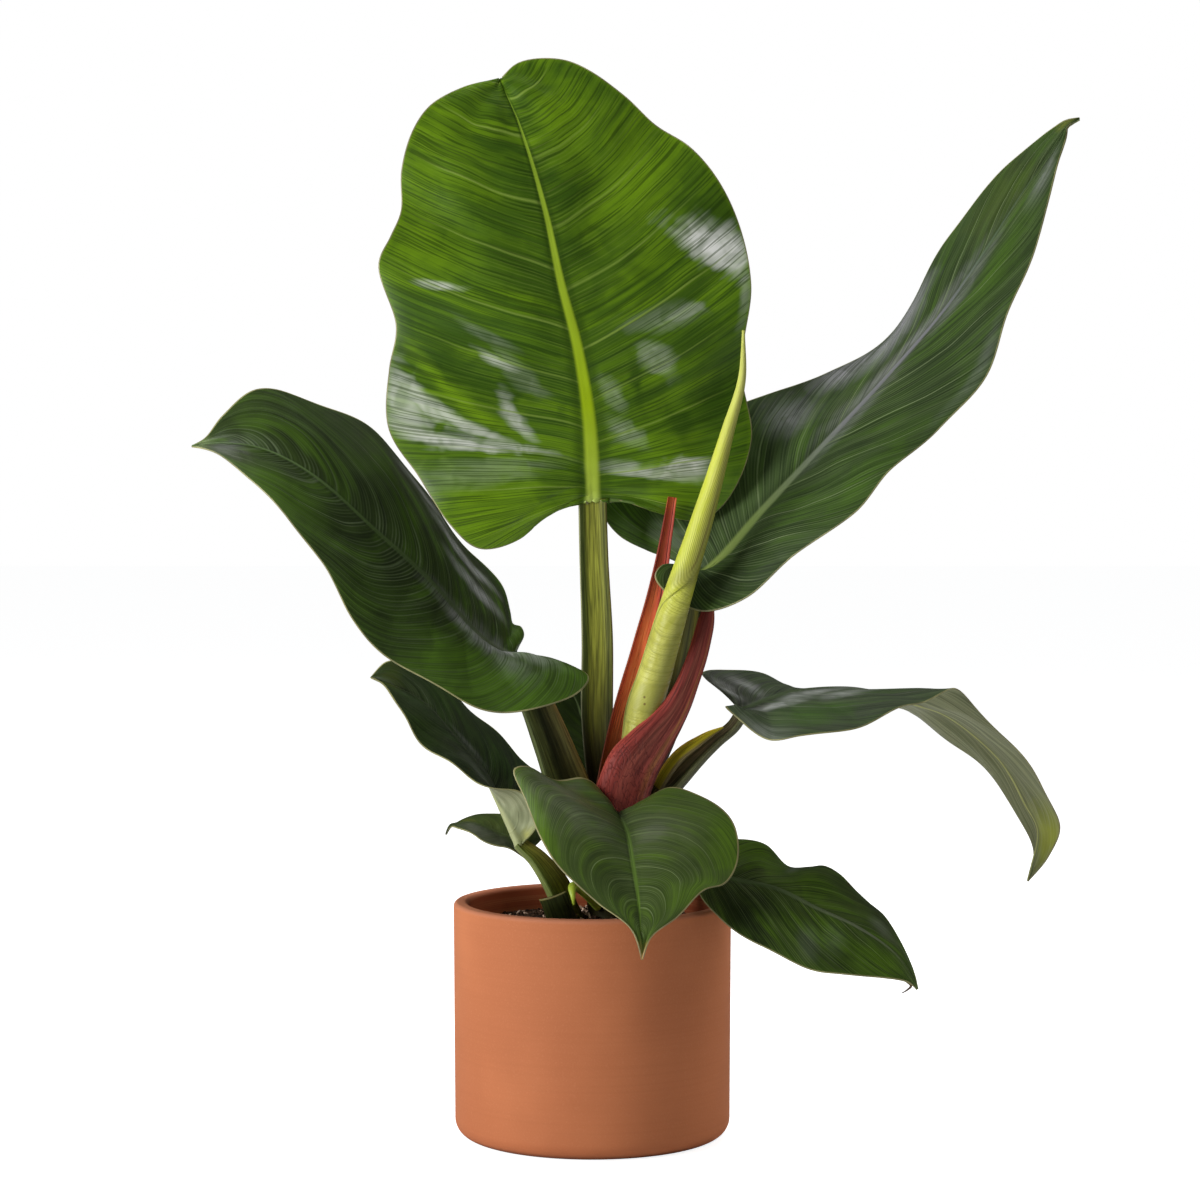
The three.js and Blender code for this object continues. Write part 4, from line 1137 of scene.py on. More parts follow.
def under_side(name, veins, spot, look):
    """The dull underside, where every vein stands out."""
    skin = Skin(name)
    tones = look["tones"]
    made = use_group(skin.tree, veins, look["veins"])
    lines = look["under_lines"]
    skin.start(tones["under_deep"], tones["under"], made["Streak"].fade(0.36, 0.64, 1.0 - lines))
    skin.lay(tones["under_deep"], made["Line"].fade(0.52, 0.36, 0.0, 0.55 * lines))
    skin.lay(tones["under_deep"], made["Thread"] * (0.35 * lines))
    skin.lay(tones["under_rib"], made["Main"] * (0.5 * lines))
    lay_spots(skin, spot, made, look["under_spots"], tones, 0.8, 0.8)
    skin.lay(tones["under_deep"], made["Off rib"].fade(1.0, 2.2, 0.7, 0.0))
    skin.lay(tones["under_rib"], made["Off rib"].fade(0.35, 0.95, 0.95, 0.0))
    return skin.finish(0.5, 0.3, made["Main"] * 1.2 + made["Line"] * 0.6)


def plain_skin(name, tone):
    """A soft mottled skin of one tone: blade margins, the sprout and the withered tip."""
    skin = Skin(name)
    mottle = noise(skin.tree, object_place(skin.tree), 60.0, 2.0)
    skin.start(tone, scaled(tone, 0.6), mottle.fade(0.35, 0.65))
    return skin.finish(0.45)


def banded_skin(name, fibres, bands, ends, gain=1.0, threads=None, creases=(), net=None, roughness=0.45,
                specular=0.2):
    """Stalks and sheaths: long bands of colour round the piece, broken up by fibres, and toned ends."""
    skin = Skin(name)
    made = use_group(skin.tree, fibres, {"Across": 34.0, "Along": 0.02})
    around = (made["Broad"] - 0.5) * 0.06 + made["Around"]
    strength = made["Fibre"].fade(0.34, 0.66, 0.55 * gain, 1.5 * gain, kind="LINEAR")
    skin.body = ramp(skin.tree, around, bands)
    skin.lay(add(skin.tree, "ShaderNodeCombineColor", dict.fromkeys(range(3), strength)).outputs[0], 1.0,
             kind="MULTIPLY")
    for tone, start, end, share in ends:
        skin.lay(tone, made["Down"].fade(start, end, 0.0, share))
    for tone, place, half_width, share in creases:
        skin.lay(tone, abs(around - place).fade(0.2 * half_width, half_width, share, 0.0))
    if threads:
        skin.lay(threads, made["Thread"] * 0.5)
    height = made["Fibre"]
    if net:
        tone, start, end = net
        lines = crossing(noise(skin.tree, stretched(skin.tree, (380.0, 380.0, 170.0)), 1.0, 1.0), 0.05)
        wrinkle = lines * made["Down"].fade(start, end)
        skin.lay(tone, wrinkle * 0.5)
        height = wrinkle * -0.8 + height
    return skin.finish(roughness, specular, height, depth=0.6 * MM)


def spear_material(fibres):
    """Pale rolled leaf: a fine slanting hatch above, soft creases below with painted shade in them,
    painted shade down its right side, a painted shadow line along its roll's edge, and two brown specks in
    front.
    """
    skin = Skin("rolled_leaf_skin")
    tree = skin.tree
    made = use_group(tree, fibres, {"Across": 8.0, "Along": 0.05})
    fibre, broad, down = (made[key] for key in ("Fibre", "Broad", "Down"))
    turn = made["Around"] * (2 * math.pi)
    forward = calc(tree, "SINE", turn)
    rightward = calc(tree, "COSINE", turn)
    upper = down.fade(*ROLLED_HATCH_END, 1.0, 0.0)

    slanted = rightward * -11.0 + down + broad * 6.0
    hatch = calc(tree, "SINE", slanted * 3.1) * 0.5 + 0.5
    hatch = hatch * (down.fade(*ROLLED_HATCH_END, 1.0, 0.35) * fibre.fade(0.3, 0.6, 0.4))
    # Painted shade down the right side, in the upper part and below
    shaded = rightward * (upper * 2.0 - 1.0)
    # A painted shadow line along the roll's outer edge
    seam = abs(made["Around"] - 0.085).fade(0.004, 0.018, 1.0, 0.0)
    seam = seam * down.fade(*ROLLED_SEAM_START) * down.fade(*ROLLED_SEAM_END, 1.0, 0.0)
    level = forward * 3.5 + down + broad * 2.0
    # Creases below: painted shade along them, and dents in the bump
    broad_creases, fine_creases = (
        crossing(noise(tree, vector(tree, level * pace, step, rightward * 0.12), 1.0, 0.0), 0.06)
        for pace, step in ((0.09, 0.0), (0.30, 4.0)))
    crease = calc(tree, "MAXIMUM", broad_creases, fine_creases * 0.45) * (1.0 - upper)

    streaky = fibre.fade(0.3, 0.7)
    skin.start(ROLLED["high_deep"], ROLLED["high"], streaky)
    skin.lay(ROLLED["waist"], down.fade(80.0, 120.0, 0.0, 0.25))
    skin.lay(blend(tree, streaky, ROLLED["low_deep"], ROLLED["low"]), down.fade(140.0, 200.0))
    skin.lay(ROLLED["hatch"], hatch * 0.62)
    skin.lay(ROLLED["crease"], crease * 0.30)
    skin.lay(ROLLED["shade"], shaded.fade(-0.1, 0.9, 0.0, 0.8))
    skin.lay(ROLLED["seam"], seam * 0.7)
    skin.lay(ROLLED["tip"], down.fade(20.0, 90.0, 0.5, 0.0))
    for speck in SPEAR["specks"]:
        centre = [part * MM for part in speck]
        off = add(tree, "ShaderNodeVectorMath", {0: object_place(tree), 1: centre}, operation="DISTANCE")
        near = Value(tree, off.outputs["Value"]).fade(0.5 * MM, 1.1 * MM, 0.8, 0.0)
        skin.lay(ROLLED["speck"], near)
    return skin.finish(0.42, 0.35, crease * -1.5 + hatch * 0.4, 0.45, 0.6 * MM)


def terracotta_material():
    """Matte fired clay: grain, soft clouds and turning marks, a redder inside, a painted highlight on the lip
    and painted contact shade at the foot.
    """
    skin = Skin("fired_clay")
    tree = skin.tree
    place = object_place(tree)
    x, y, z = parts(tree, place)
    grain = noise(tree, place, 900.0, 2.0)
    turned = noise(tree, stretched(tree, (6.0, 6.0, 700.0)), 1.0, 3.0)
    skin.start(CLAY["deep"], CLAY["plain"], noise(tree, place, 9.0, 3.0).fade(0.35, 0.65))
    skin.lay(CLAY["grain"], grain.fade(0.5, 0.75, 0.0, 0.22))
    skin.lay(CLAY["turned"], turned.fade(0.42, 0.75, 0.0, 0.09))
    radius = calc(tree, "SQRT", x * x + y * y)
    inside = radius.fade((POT_RADIUS - 7.5) * MM, (POT_RADIUS - 5.5) * MM, 1.0, 0.0)
    skin.lay(CLAY["inside"], inside * turned.fade(0.40, 0.60, 0.35, 0.9))
    # Painted highlight along the lip
    skin.lay(CLAY["lip"], z.fade((POT_HEIGHT - 3.0) * MM, (POT_HEIGHT - 0.5) * MM, 0.0, 0.5))
    # Painted contact shade at the foot
    skin.lay(CLAY["foot"], z.fade(0.3 * MM, 4.5 * MM, 0.75, 0.0))
    return skin.finish(0.78, 0.3, turned * 0.35 + grain, 0.2, 0.4 * MM)


def grainy_material(name, dark, light, scale):
    """Rough small-grained matter: soil, grit and bark."""
    skin = Skin(name)
    grain = noise(skin.tree, object_place(skin.tree), scale, 4.0)
    skin.start(dark, light, grain.fade(0.35, 0.7))
    return skin.finish(0.9, 0.2, grain, 0.7, 1.0 * MM)


# Tones and looks of each piece


def palette(base=None, **tones):
    return {**(base or {}), **{name: colour(*tone) for name, tone in tones.items()}}


def tinted(tones, factor):
    """The same palette with every tone lighter or darker."""
    return {name: scaled(tone, factor) for name, tone in tones.items()}


# Tones of the blades: BRIGHT for the upright leaf, DARK for the others, and what most of these change in it
# The sheen tone is a painted highlight and the grey tone a painted grey sheen, both laid into the colour
BRIGHT = palette(
    deep=(0.046, 0.108, 0.006), mid=(0.088, 0.182, 0.006), lime=(0.176, 0.330, 0.006),
    shade=(0.020, 0.050, 0.002), line=(0.26, 0.38, 0.06), dark=(0.026, 0.070, 0.004),
    sheen=(0.97, 0.97, 0.92), under=(0.14, 0.22, 0.05), under_deep=(0.10, 0.17, 0.035),
    under_rib=(0.28, 0.36, 0.08), under_tip=(0.20, 0.28, 0.06))
DARK = palette(
    deep=(0.014, 0.022, 0.007), mid=(0.036, 0.062, 0.012), lime=(0.052, 0.112, 0.010),
    shade=(0.006, 0.010, 0.004), line=(0.085, 0.120, 0.050), dark=(0.008, 0.012, 0.005),
    sheen=(0.34, 0.345, 0.34), purple=(0.034, 0.030, 0.026), grey=(0.105, 0.105, 0.085),
    brown=(0.05, 0.016, 0.004), olive=(0.100, 0.130, 0.012), yellow=(0.26, 0.27, 0.03),
    pale=(0.24, 0.33, 0.12), tip=(0.80, 0.42, 0.11), under=(0.340, 0.375, 0.205),
    under_deep=(0.17, 0.195, 0.09), under_rib=(0.42, 0.45, 0.22), under_tip=(0.42, 0.48, 0.03))
LEFTWARD = palette(
    tinted(DARK, 1.2), sheen=(0.46, 0.46, 0.47), purple=(0.050, 0.046, 0.038), line=(0.15, 0.20, 0.10),
    lime=(0.085, 0.180, 0.012))
GREYED = palette(
    DARK, deep=(0.030, 0.050, 0.018), mid=(0.066, 0.106, 0.034), lime=(0.072, 0.155, 0.014),
    shade=(0.018, 0.030, 0.010), line=(0.20, 0.26, 0.12), dark=(0.024, 0.040, 0.014),
    sheen=(0.44, 0.43, 0.46))
PURPLED = palette(
    DARK, deep=(0.040, 0.052, 0.034), mid=(0.088, 0.120, 0.058), lime=(0.060, 0.135, 0.016),
    line=(0.20, 0.22, 0.16), dark=(0.018, 0.026, 0.014), sheen=(0.60, 0.61, 0.60), grey=(0.125, 0.120, 0.125),
    under_rib=(0.50, 0.53, 0.20))
FRONT = palette(
    DARK, deep=(0.042, 0.070, 0.014), mid=(0.086, 0.130, 0.032), lime=(0.115, 0.225, 0.010),
    shade=(0.022, 0.038, 0.009), line=(0.22, 0.29, 0.12), dark=(0.022, 0.032, 0.012),
    sheen=(0.30, 0.30, 0.29), grey=(0.125, 0.135, 0.090), pale=(0.75, 0.52, 0.27))
LOW = palette(
    DARK, deep=(0.024, 0.048, 0.006), mid=(0.058, 0.100, 0.014), lime=(0.095, 0.195, 0.007),
    line=(0.22, 0.28, 0.12))
NIGHT = palette(
    DARK, deep=(0.011, 0.019, 0.006), mid=(0.028, 0.046, 0.012), lime=(0.032, 0.072, 0.010),
    line=(0.070, 0.085, 0.052), under=(0.40, 0.43, 0.25), under_tip=(0.40, 0.40, 0.08))
# Tones of the rolled leaf, of the clay and of small pieces
# The rolled leaf's shade, crease and seam tones are painted shade
ROLLED = palette(
    high_deep=(0.74, 0.80, 0.06), high=(0.93, 0.94, 0.17), waist=(0.50, 0.55, 0.05),
    low_deep=(0.54, 0.53, 0.09), low=(0.70, 0.69, 0.17), hatch=(0.40, 0.48, 0.03),
    crease=(0.27, 0.28, 0.05), shade=(0.30, 0.30, 0.06), seam=(0.20, 0.17, 0.03), tip=(0.66, 0.68, 0.20),
    speck=(0.16, 0.09, 0.02))
# The clay's lip tone is a painted highlight, and its foot tone painted contact shade
CLAY = palette(
    deep=(0.53, 0.172, 0.068), plain=(0.61, 0.205, 0.082), grain=(0.66, 0.26, 0.12),
    turned=(0.42, 0.12, 0.045), inside=(0.40, 0.085, 0.030), lip=(0.60, 0.25, 0.15), foot=(0.13, 0.04, 0.02))
CREAM = colour(0.36, 0.35, 0.15)
SPROUT_GREEN = colour(0.42, 0.55, 0.045)
WITHERED_BROWN = colour(0.10, 0.055, 0.025)

# The rolled leaf's hatch and the painted shadow line of its seam, in mm down from its tip: from where to
# where they come or go
ROLLED_HATCH_END = (150.0, 175.0)
ROLLED_SEAM_START = (85.0, 112.0)
ROLLED_SEAM_END = (146.0, 152.0)


def veins(left, left_change, right, right_change, power, lines, main):
    return {"Left bend": left, "Left change": left_change, "Right bend": right, "Right change": right_change,
            "Bend power": power, "Line count": lines, "Main veins": main}


def even_veins(bend, power, lines, main):
    return veins(bend, 0.0, bend, 0.0, power, lines, main)


# What most blades share. The rib is its tones at places from base to tip. A spot is a place and half size in
# the blade's u and v, with its strength and in places its lean; spots of one tone follow the tone's name
# Sheens are painted highlights, placed like spots. Grey spots are painted grey sheen; dark spots are partly
# darker tone and partly painted shade
PLAIN_LOOK = {
    "tones": DARK, "lime": 0.4, "dark_lines": 0.5, "pale_lines": 0.6, "main": 0.5, "pale_edge": 0.1,
    "roughness": 0.36, "specular": 0.25, "softness": 0.24, "rib_shade": 0.2, "rib_edge": 1.05,
    "rib_strength": 0.8, "rib": [(0.0, 0.09, 0.13, 0.04), (1.0, 0.06, 0.08, 0.035)], "spots": [],
    "sheens": [], "broken": 0.6, "edge_tone": "lime", "edge_mm": 4.0, "under_lines": 1.0, "core": 0.1,
    "ragged": 0.7, "under_spots": [("under_tip", (0.0, 1.0, 2.0, 0.2, 0.3))],
}

LOOKS = {
    "leaf_upright": {
        **PLAIN_LOOK, "tones": BRIGHT, "veins": veins(0.25, -0.28, 0.12, -0.18, 0.75, 155.0, 9.0),
        "lime": 0.55, "core": 0.30, "ragged": 1.1, "softness": 0.16, "dark_lines": 0.62, "pale_lines": 0.34,
        "main": 0.9, "pale_edge": 0.25, "roughness": 0.32, "specular": 0.28, "rib_shade": 0.45,
        "rib_edge": 0.9, "rib_strength": 1.0,
        "rib": [(0.0, 0.44, 0.55, 0.13), (0.12, 0.44, 0.57, 0.07), (0.4, 0.34, 0.48, 0.006),
                (0.7, 0.34, 0.48, 0.03), (1.0, 0.20, 0.34, 0.03)],
        "spots": [
            # Dark spots: partly darker tone, partly painted shade in the blade's quilted dents
            ("dark", (0.26, 0.69, 0.40, 0.20, 0.65), (-0.20, 0.74, 0.40, 0.18, 0.6),
             (0.30, 0.95, 0.9, 0.06, 0.4), (0.31, 0.415, 0.06, 0.055, 0.95, -0.8),
             (-0.70, 0.53, 0.42, 0.05, 0.6), (0.78, 0.34, 0.20, 0.06, 0.7),
             (-0.25, 0.47, 0.36, 0.05, 0.5), (0.54, 0.32, 0.12, 0.04, 0.85, -0.3),
             (-0.52, 0.455, 0.50, 0.035, 0.75, -0.2), (0.66, 0.45, 0.18, 0.05, 0.6),
             (-0.10, 0.56, 0.20, 0.16, 0.4), (0.84, 0.62, 0.16, 0.025, 0.6, -0.3)),
            ("lime", (-0.85, 0.20, 0.55, 0.12, 0.75), (-0.85, 0.80, 0.30, 0.12, 0.55),
             (0.55, 0.86, 0.35, 0.09, 0.7), (0.62, 0.71, 0.45, 0.06, 0.8), (-0.45, 0.10, 0.6, 0.07, 0.6),
             (-0.80, 0.66, 0.35, 0.04, 0.7), (-0.62, 0.422, 0.34, 0.020, 1.0, -0.29),
             (0.75, 0.16, 0.35, 0.07, 0.5)),
            ("dark", (-0.70, 0.372, 0.24, 0.012, 0.9, -0.18)),
        ],
        "sheens": [
            (0.82, 0.562, 0.18, 0.040, 1.0, -0.33), (0.92, 0.540, 0.12, 0.045, 0.85, -0.3),
            (0.97, 0.48, 0.05, 0.06, 0.20), (0.60, 0.497, 0.12, 0.012, 0.40, -0.05),
            (0.48, 0.505, 0.24, 0.024, 0.14, -0.1), (0.43, 0.445, 0.13, 0.030, 0.27, -0.25),
            (0.46, 0.425, 0.08, 0.013, 0.36, -0.1), (0.16, 0.410, 0.09, 0.036, 0.15, -0.4),
            (0.23, 0.316, 0.14, 0.036, 0.19, -0.2), (0.62, 0.232, 0.16, 0.022, 0.85),
            (0.42, 0.210, 0.38, 0.014, 0.55), (0.20, 0.225, 0.24, 0.022, 0.30),
            (-0.92, 0.425, 0.17, 0.055, 0.46, -0.29), (-0.84, 0.432, 0.20, 0.022, 0.55, -0.29),
            (-0.62, 0.380, 0.28, 0.018, 0.55, -0.27), (-0.73, 0.354, 0.36, 0.018, 0.70, -0.16),
            (-0.46, 0.325, 0.30, 0.018, 0.38, -0.16), (-0.37, 0.382, 0.08, 0.042, 0.46, -0.62),
            (-0.45, 0.500, 0.13, 0.012, 0.45, -0.15), (-0.33, 0.475, 0.15, 0.028, 0.15, -0.3),
            (-0.50, 0.545, 0.16, 0.014, 0.12, -0.15), (-0.69, 0.618, 0.13, 0.008, 0.60, 0.03),
            (-0.60, 0.280, 0.45, 0.035, 0.12, -0.05),
        ],
    },
    "leaf_left": {
        **PLAIN_LOOK, "tones": LEFTWARD, "veins": even_veins(0.25, 2.0, 120.0, 9.0), "lime": 0.5,
        "softness": 0.36, "dark_lines": 0.35, "pale_lines": 0.75, "main": 0.7,
        "rib": [(0.0, 0.15, 0.17, 0.12), (0.3, 0.060, 0.085, 0.035), (0.7, 0.085, 0.14, 0.04),
                (1.0, 0.14, 0.22, 0.08)],
        "spots": [
            ("purple", (0.95, 0.44, 0.45, 0.24, 0.8), (0.6, 0.28, 0.4, 0.10, 0.5)),
            ("dark", (0.35, 0.35, 0.30, 0.14, 0.5), (-0.60, 0.50, 0.40, 0.12, 0.35)),
            ("lime", (-0.80, 0.30, 0.50, 0.22, 0.9), (0.6, 0.08, 0.5, 0.06, 0.9),
             (-0.3, 0.11, 0.6, 0.07, 0.7), (-0.80, 0.80, 0.40, 0.10, 0.5)),
            ("pale", (0.0, 0.99, 1.5, 0.03, 0.7)),
            ("grey", (-0.6, 0.92, 0.5, 0.06, 0.5)),
        ],
        "sheens": [
            (-0.04, 0.44, 0.12, 0.08, 0.35), (-0.08, 0.35, 0.18, 0.09, 0.6), (-0.14, 0.26, 0.28, 0.09, 0.75),
            (-0.12, 0.17, 0.32, 0.07, 0.85), (-0.45, 0.12, 0.36, 0.06, 0.45), (-0.45, 0.22, 0.36, 0.06, 0.25),
            (0.48, 0.30, 0.10, 0.14, 0.75), (0.74, 0.34, 0.09, 0.14, 0.9), (0.86, 0.46, 0.07, 0.10, 0.6),
            (-0.4, 0.94, 0.6, 0.04, 0.35),
        ],
    },
    "leaf_upper_right": {
        **PLAIN_LOOK, "tones": GREYED, "veins": even_veins(0.19, 0.85, 140.0, 10.0), "lime": 0.45,
        "specular": 0.1, "dark_lines": 0.55, "pale_lines": 0.58, "main": 1.0, "pale_edge": 0.05,
        "rib_edge": 0.95,
        "rib": [(0.0, 0.30, 0.38, 0.08), (0.28, 0.24, 0.33, 0.09), (0.42, 0.22, 0.27, 0.16),
                (0.52, 0.24, 0.24, 0.25), (0.72, 0.22, 0.22, 0.24), (0.82, 0.12, 0.17, 0.10),
                (1.0, 0.08, 0.12, 0.05)],
        "spots": [
            ("dark", (-0.55, 0.32, 0.5, 0.10, 0.4), (0.66, 0.50, 0.45, 0.08, 0.4),
             (0.60, 0.20, 0.6, 0.16, 0.8)),
            ("lime", (-0.85, 0.16, 0.4, 0.10, 1.0)),
            ("mid", (-0.05, 0.30, 0.30, 0.10, 0.9)),
            # A painted shadow, cast by the upright leaf
            ("dark", (-0.34, 0.24, 0.20, 0.06, 1.0)),
            ("olive", (-0.40, 0.87, 0.7, 0.07, 0.3)),
            ("yellow", (-0.70, 0.98, 0.6, 0.016, 0.6)),
            ("grey", (-0.10, 0.62, 0.25, 0.14, 0.5)),
            ("purple", (-0.95, 0.50, 0.20, 0.12, 0.5)),
            ("lime", (0.80, 0.42, 0.25, 0.12, 0.6), (0.55, 0.80, 0.35, 0.08, 0.5)),
        ],
        "sheens": [
            (-0.10, 0.66, 0.16, 0.20, 0.40), (0.05, 0.52, 0.10, 0.12, 0.28), (-0.84, 0.56, 0.26, 0.07, 0.8),
            (-0.72, 0.65, 0.36, 0.09, 0.9), (-0.62, 0.46, 0.30, 0.05, 0.5), (-0.75, 0.36, 0.25, 0.03, 0.3),
            (0.92, 0.62, 0.08, 0.10, 0.16), (0.10, 0.77, 0.16, 0.10, 0.3), (0.65, 0.91, 0.30, 0.05, 0.35),
        ],
    },
    "leaf_drooping": {
        **PLAIN_LOOK, "tones": PURPLED, "veins": even_veins(0.35, 1.0, 110.0, 7.0), "lime": 0.3,
        "roughness": 0.34, "rib_edge": 0.7, "broken": 0.5, "main": 0.8,
        "rib": [(0.0, 0.05, 0.08, 0.03), (0.2, 0.07, 0.10, 0.045), (1.0, 0.08, 0.09, 0.05)],
        "spots": [
            ("dark", (0.0, 0.06, 0.5, 0.05, 0.8)),
            ("purple", (-0.5, 0.12, 0.7, 0.10, 0.5)),
            ("lime", (0.55, 0.24, 0.30, 0.12, 0.9)),
            ("dark", (0.35, 0.11, 0.3, 0.05, 0.5)),
            ("grey", (-0.60, 0.13, 0.70, 0.12, 0.45)),
        ],
        "sheens": [
            (0.90, 0.12, 0.25, 0.06, 0.3), (-0.60, 0.10, 0.45, 0.030, 0.6), (-0.45, 0.17, 0.40, 0.030, 0.5),
            (0.20, 0.19, 0.10, 0.12, 0.7), (0.12, 0.30, 0.09, 0.12, 0.7), (0.30, 0.38, 0.12, 0.09, 0.5),
            (0.05, 0.45, 0.12, 0.10, 0.5),
        ],
        "under_spots": [("under_tip", (0.6, 0.93, 0.7, 0.06, 0.7), (0.9, 0.88, 0.4, 0.06, 0.4))],
    },
    "leaf_mid_left": {
        **PLAIN_LOOK, "tones": NIGHT, "veins": even_veins(0.25, 1.5, 90.0, 6.0), "lime": 0.5,
        "rib": [(0.0, 0.05, 0.055, 0.04), (1.0, 0.045, 0.060, 0.030)], "rib_strength": 0.7, "pale_lines": 0.9,
        "spots": [
            ("grey", (-0.30, 0.46, 0.5, 0.22, 0.30)),
            ("purple", (-0.5, 0.3, 0.5, 0.2, 0.5)),
            ("olive", (-0.4, 0.96, 1.2, 0.08, 0.6)),
        ],
        "sheens": [(0.10, 0.60, 0.07, 0.12, 0.20), (-0.31, 0.46, 0.20, 0.14, 0.14)],
        "under_lines": 0.5,
        "under_spots": [
            ("under_tip", (-0.2, 0.07, 0.9, 0.07, 0.8)),
            ("under_deep", (-0.38, 0.21, 0.22, 0.06, 0.5)),
        ],
    },
    "leaf_low_left": {
        **PLAIN_LOOK, "tones": tinted(FRONT, 0.58), "veins": even_veins(0.25, 1.5, 60.0, 5.0),
        "lime": 0.3, "rib_strength": 0.5,
        "spots": [
            ("olive", (0.4, 0.50, 0.8, 0.40, 0.65)),
            ("yellow", (0.25, 0.77, 0.35, 0.08, 0.6)),
            ("grey", (-0.8, 0.55, 0.70, 0.60, 0.9)),
            ("purple", (0.0, 0.99, 1.5, 0.06, 0.9)),
        ],
        "sheens": [(-0.6, 0.70, 0.4, 0.16, 0.25)],
    },
    "leaf_front": {
        **PLAIN_LOOK, "tones": FRONT, "veins": even_veins(0.4, 2.0, 115.0, 9.0), "lime": 0.45,
        "softness": 0.30, "dark_lines": 0.45, "main": 0.9, "pale_edge": 0.8, "edge_tone": "pale",
        "edge_mm": 1.3, "rib_edge": 1.1, "rib_strength": 0.95, "rib_shade": 0.15,
        "rib": [(0.0, 0.055, 0.060, 0.035), (0.12, 0.08, 0.11, 0.045), (0.28, 0.14, 0.23, 0.05),
                (0.85, 0.13, 0.23, 0.03), (0.95, 0.20, 0.28, 0.04), (1.0, 0.70, 0.36, 0.11)],
        "spots": [
            ("dark", (0.30, 0.10, 0.5, 0.12, 0.6)),
            ("purple", (-0.1, 0.10, 0.35, 0.10, 0.5)),
            ("lime", (-0.92, 0.48, 0.22, 0.20, 0.7), (-0.75, 0.72, 0.35, 0.10, 0.6),
             (0.95, 0.50, 0.16, 0.20, 0.8), (0.0, 0.95, 1.5, 0.07, 0.6)),
            ("dark", (-0.35, 0.62, 0.4, 0.10, 0.4), (0.45, 0.66, 0.4, 0.10, 0.35)),
            ("tip", (0.0, 1.03, 3.5, 0.085, 1.0)),
            ("grey", (-0.30, 0.34, 0.40, 0.18, 0.55), (0.45, 0.36, 0.50, 0.18, 0.8),
             (0.80, 0.28, 0.30, 0.12, 0.7)),
        ],
        "sheens": [(-0.25, 0.36, 0.25, 0.08, 0.14), (0.75, 0.30, 0.28, 0.05, 0.2)],
    },
    "leaf_low_right": {
        **PLAIN_LOOK, "tones": LOW, "veins": even_veins(0.35, 1.0, 72.0, 7.0), "lime": 0.6,
        "softness": 0.30, "dark_lines": 0.6, "pale_lines": 0.9, "rib_edge": 1.3,
        "rib": [(0.0, 0.06, 0.10, 0.03), (0.4, 0.10, 0.15, 0.055), (0.8, 0.14, 0.16, 0.10),
                (1.0, 0.11, 0.16, 0.04)],
        "spots": [
            ("dark", (0.55, 0.26, 0.8, 0.20, 0.8)),
            ("lime", (0.70, 0.84, 0.6, 0.12, 0.7), (-0.30, 0.46, 0.45, 0.14, 0.7),
             (-0.70, 0.28, 0.5, 0.14, 0.9)),
            ("grey", (-0.55, 0.82, 0.30, 0.08, 0.4)),
            ("purple", (-0.85, 0.72, 0.22, 0.10, 0.5)),
            ("brown", (-0.97, 0.60, 0.09, 0.014, 0.9)),
            ("dark", (0.97, 0.42, 0.08, 0.05, 0.9)),
        ],
        "sheens": [
            (0.62, 0.60, 0.34, 0.05, 0.16), (0.45, 0.68, 0.34, 0.05, 0.12), (-0.75, 0.44, 0.25, 0.025, 0.35),
            (-0.55, 0.78, 0.20, 0.05, 0.25),
        ],
    },
    "leaf_back": {
        # The low right leaf's tones darkened to a fifth, as painted shade on this leaf behind the others
        **PLAIN_LOOK, "tones": tinted(LOW, 0.20), "veins": even_veins(0.3, 1.0, 100.0, 6.0),
        "roughness": 0.5, "specular": 0.03,
    },
}

# Bands of colour round each stalk: 0 is its right edge as seen from its face, 0.3 its channel, 0.55 its left
UPRIGHT_BANDS = [
    (0.0, 0.11, 0.08, 0.03), (0.07, 0.17, 0.15, 0.045), (0.13, 0.15, 0.16, 0.03), (0.17, 0.07, 0.08, 0.015),
    (0.22, 0.23, 0.24, 0.035), (0.33, 0.26, 0.27, 0.035), (0.39, 0.08, 0.10, 0.015),
    (0.46, 0.055, 0.075, 0.015), (0.51, 0.42, 0.43, 0.22), (0.57, 0.38, 0.38, 0.20),
    (0.64, 0.16, 0.15, 0.05), (0.85, 0.14, 0.13, 0.04),
]
LEFT_BANDS = [
    (0.0, 0.22, 0.075, 0.030), (0.05, 0.14, 0.085, 0.030), (0.20, 0.075, 0.068, 0.022),
    (0.27, 0.018, 0.018, 0.007), (0.31, 0.010, 0.012, 0.005), (0.36, 0.050, 0.060, 0.020),
    (0.46, 0.070, 0.085, 0.030), (0.56, 0.050, 0.060, 0.022), (0.75, 0.04, 0.04, 0.015),
]
DROOPING_BANDS = [
    (0.0, 0.11, 0.115, 0.055), (0.10, 0.12, 0.125, 0.055), (0.18, 0.10, 0.105, 0.040),
    (0.24, 0.035, 0.035, 0.012), (0.30, 0.11, 0.090, 0.050), (0.37, 0.10, 0.085, 0.040),
    (0.50, 0.08, 0.075, 0.025), (0.75, 0.07, 0.065, 0.025), (0.92, 0.10, 0.105, 0.050),
]
FLAP_BANDS = [
    (0.0, 0.05, 0.040, 0.018), (0.06, 0.070, 0.055, 0.020), (0.10, 0.13, 0.105, 0.008),
    (0.15, 0.17, 0.145, 0.006), (0.20, 0.15, 0.125, 0.006), (0.24, 0.19, 0.155, 0.008),
    (0.34, 0.36, 0.25, 0.02), (0.42, 0.44, 0.30, 0.03), (0.5, 0.20, 0.12, 0.05),
    (0.54, 0.10, 0.08, 0.02), (0.9, 0.10, 0.08, 0.02),
]
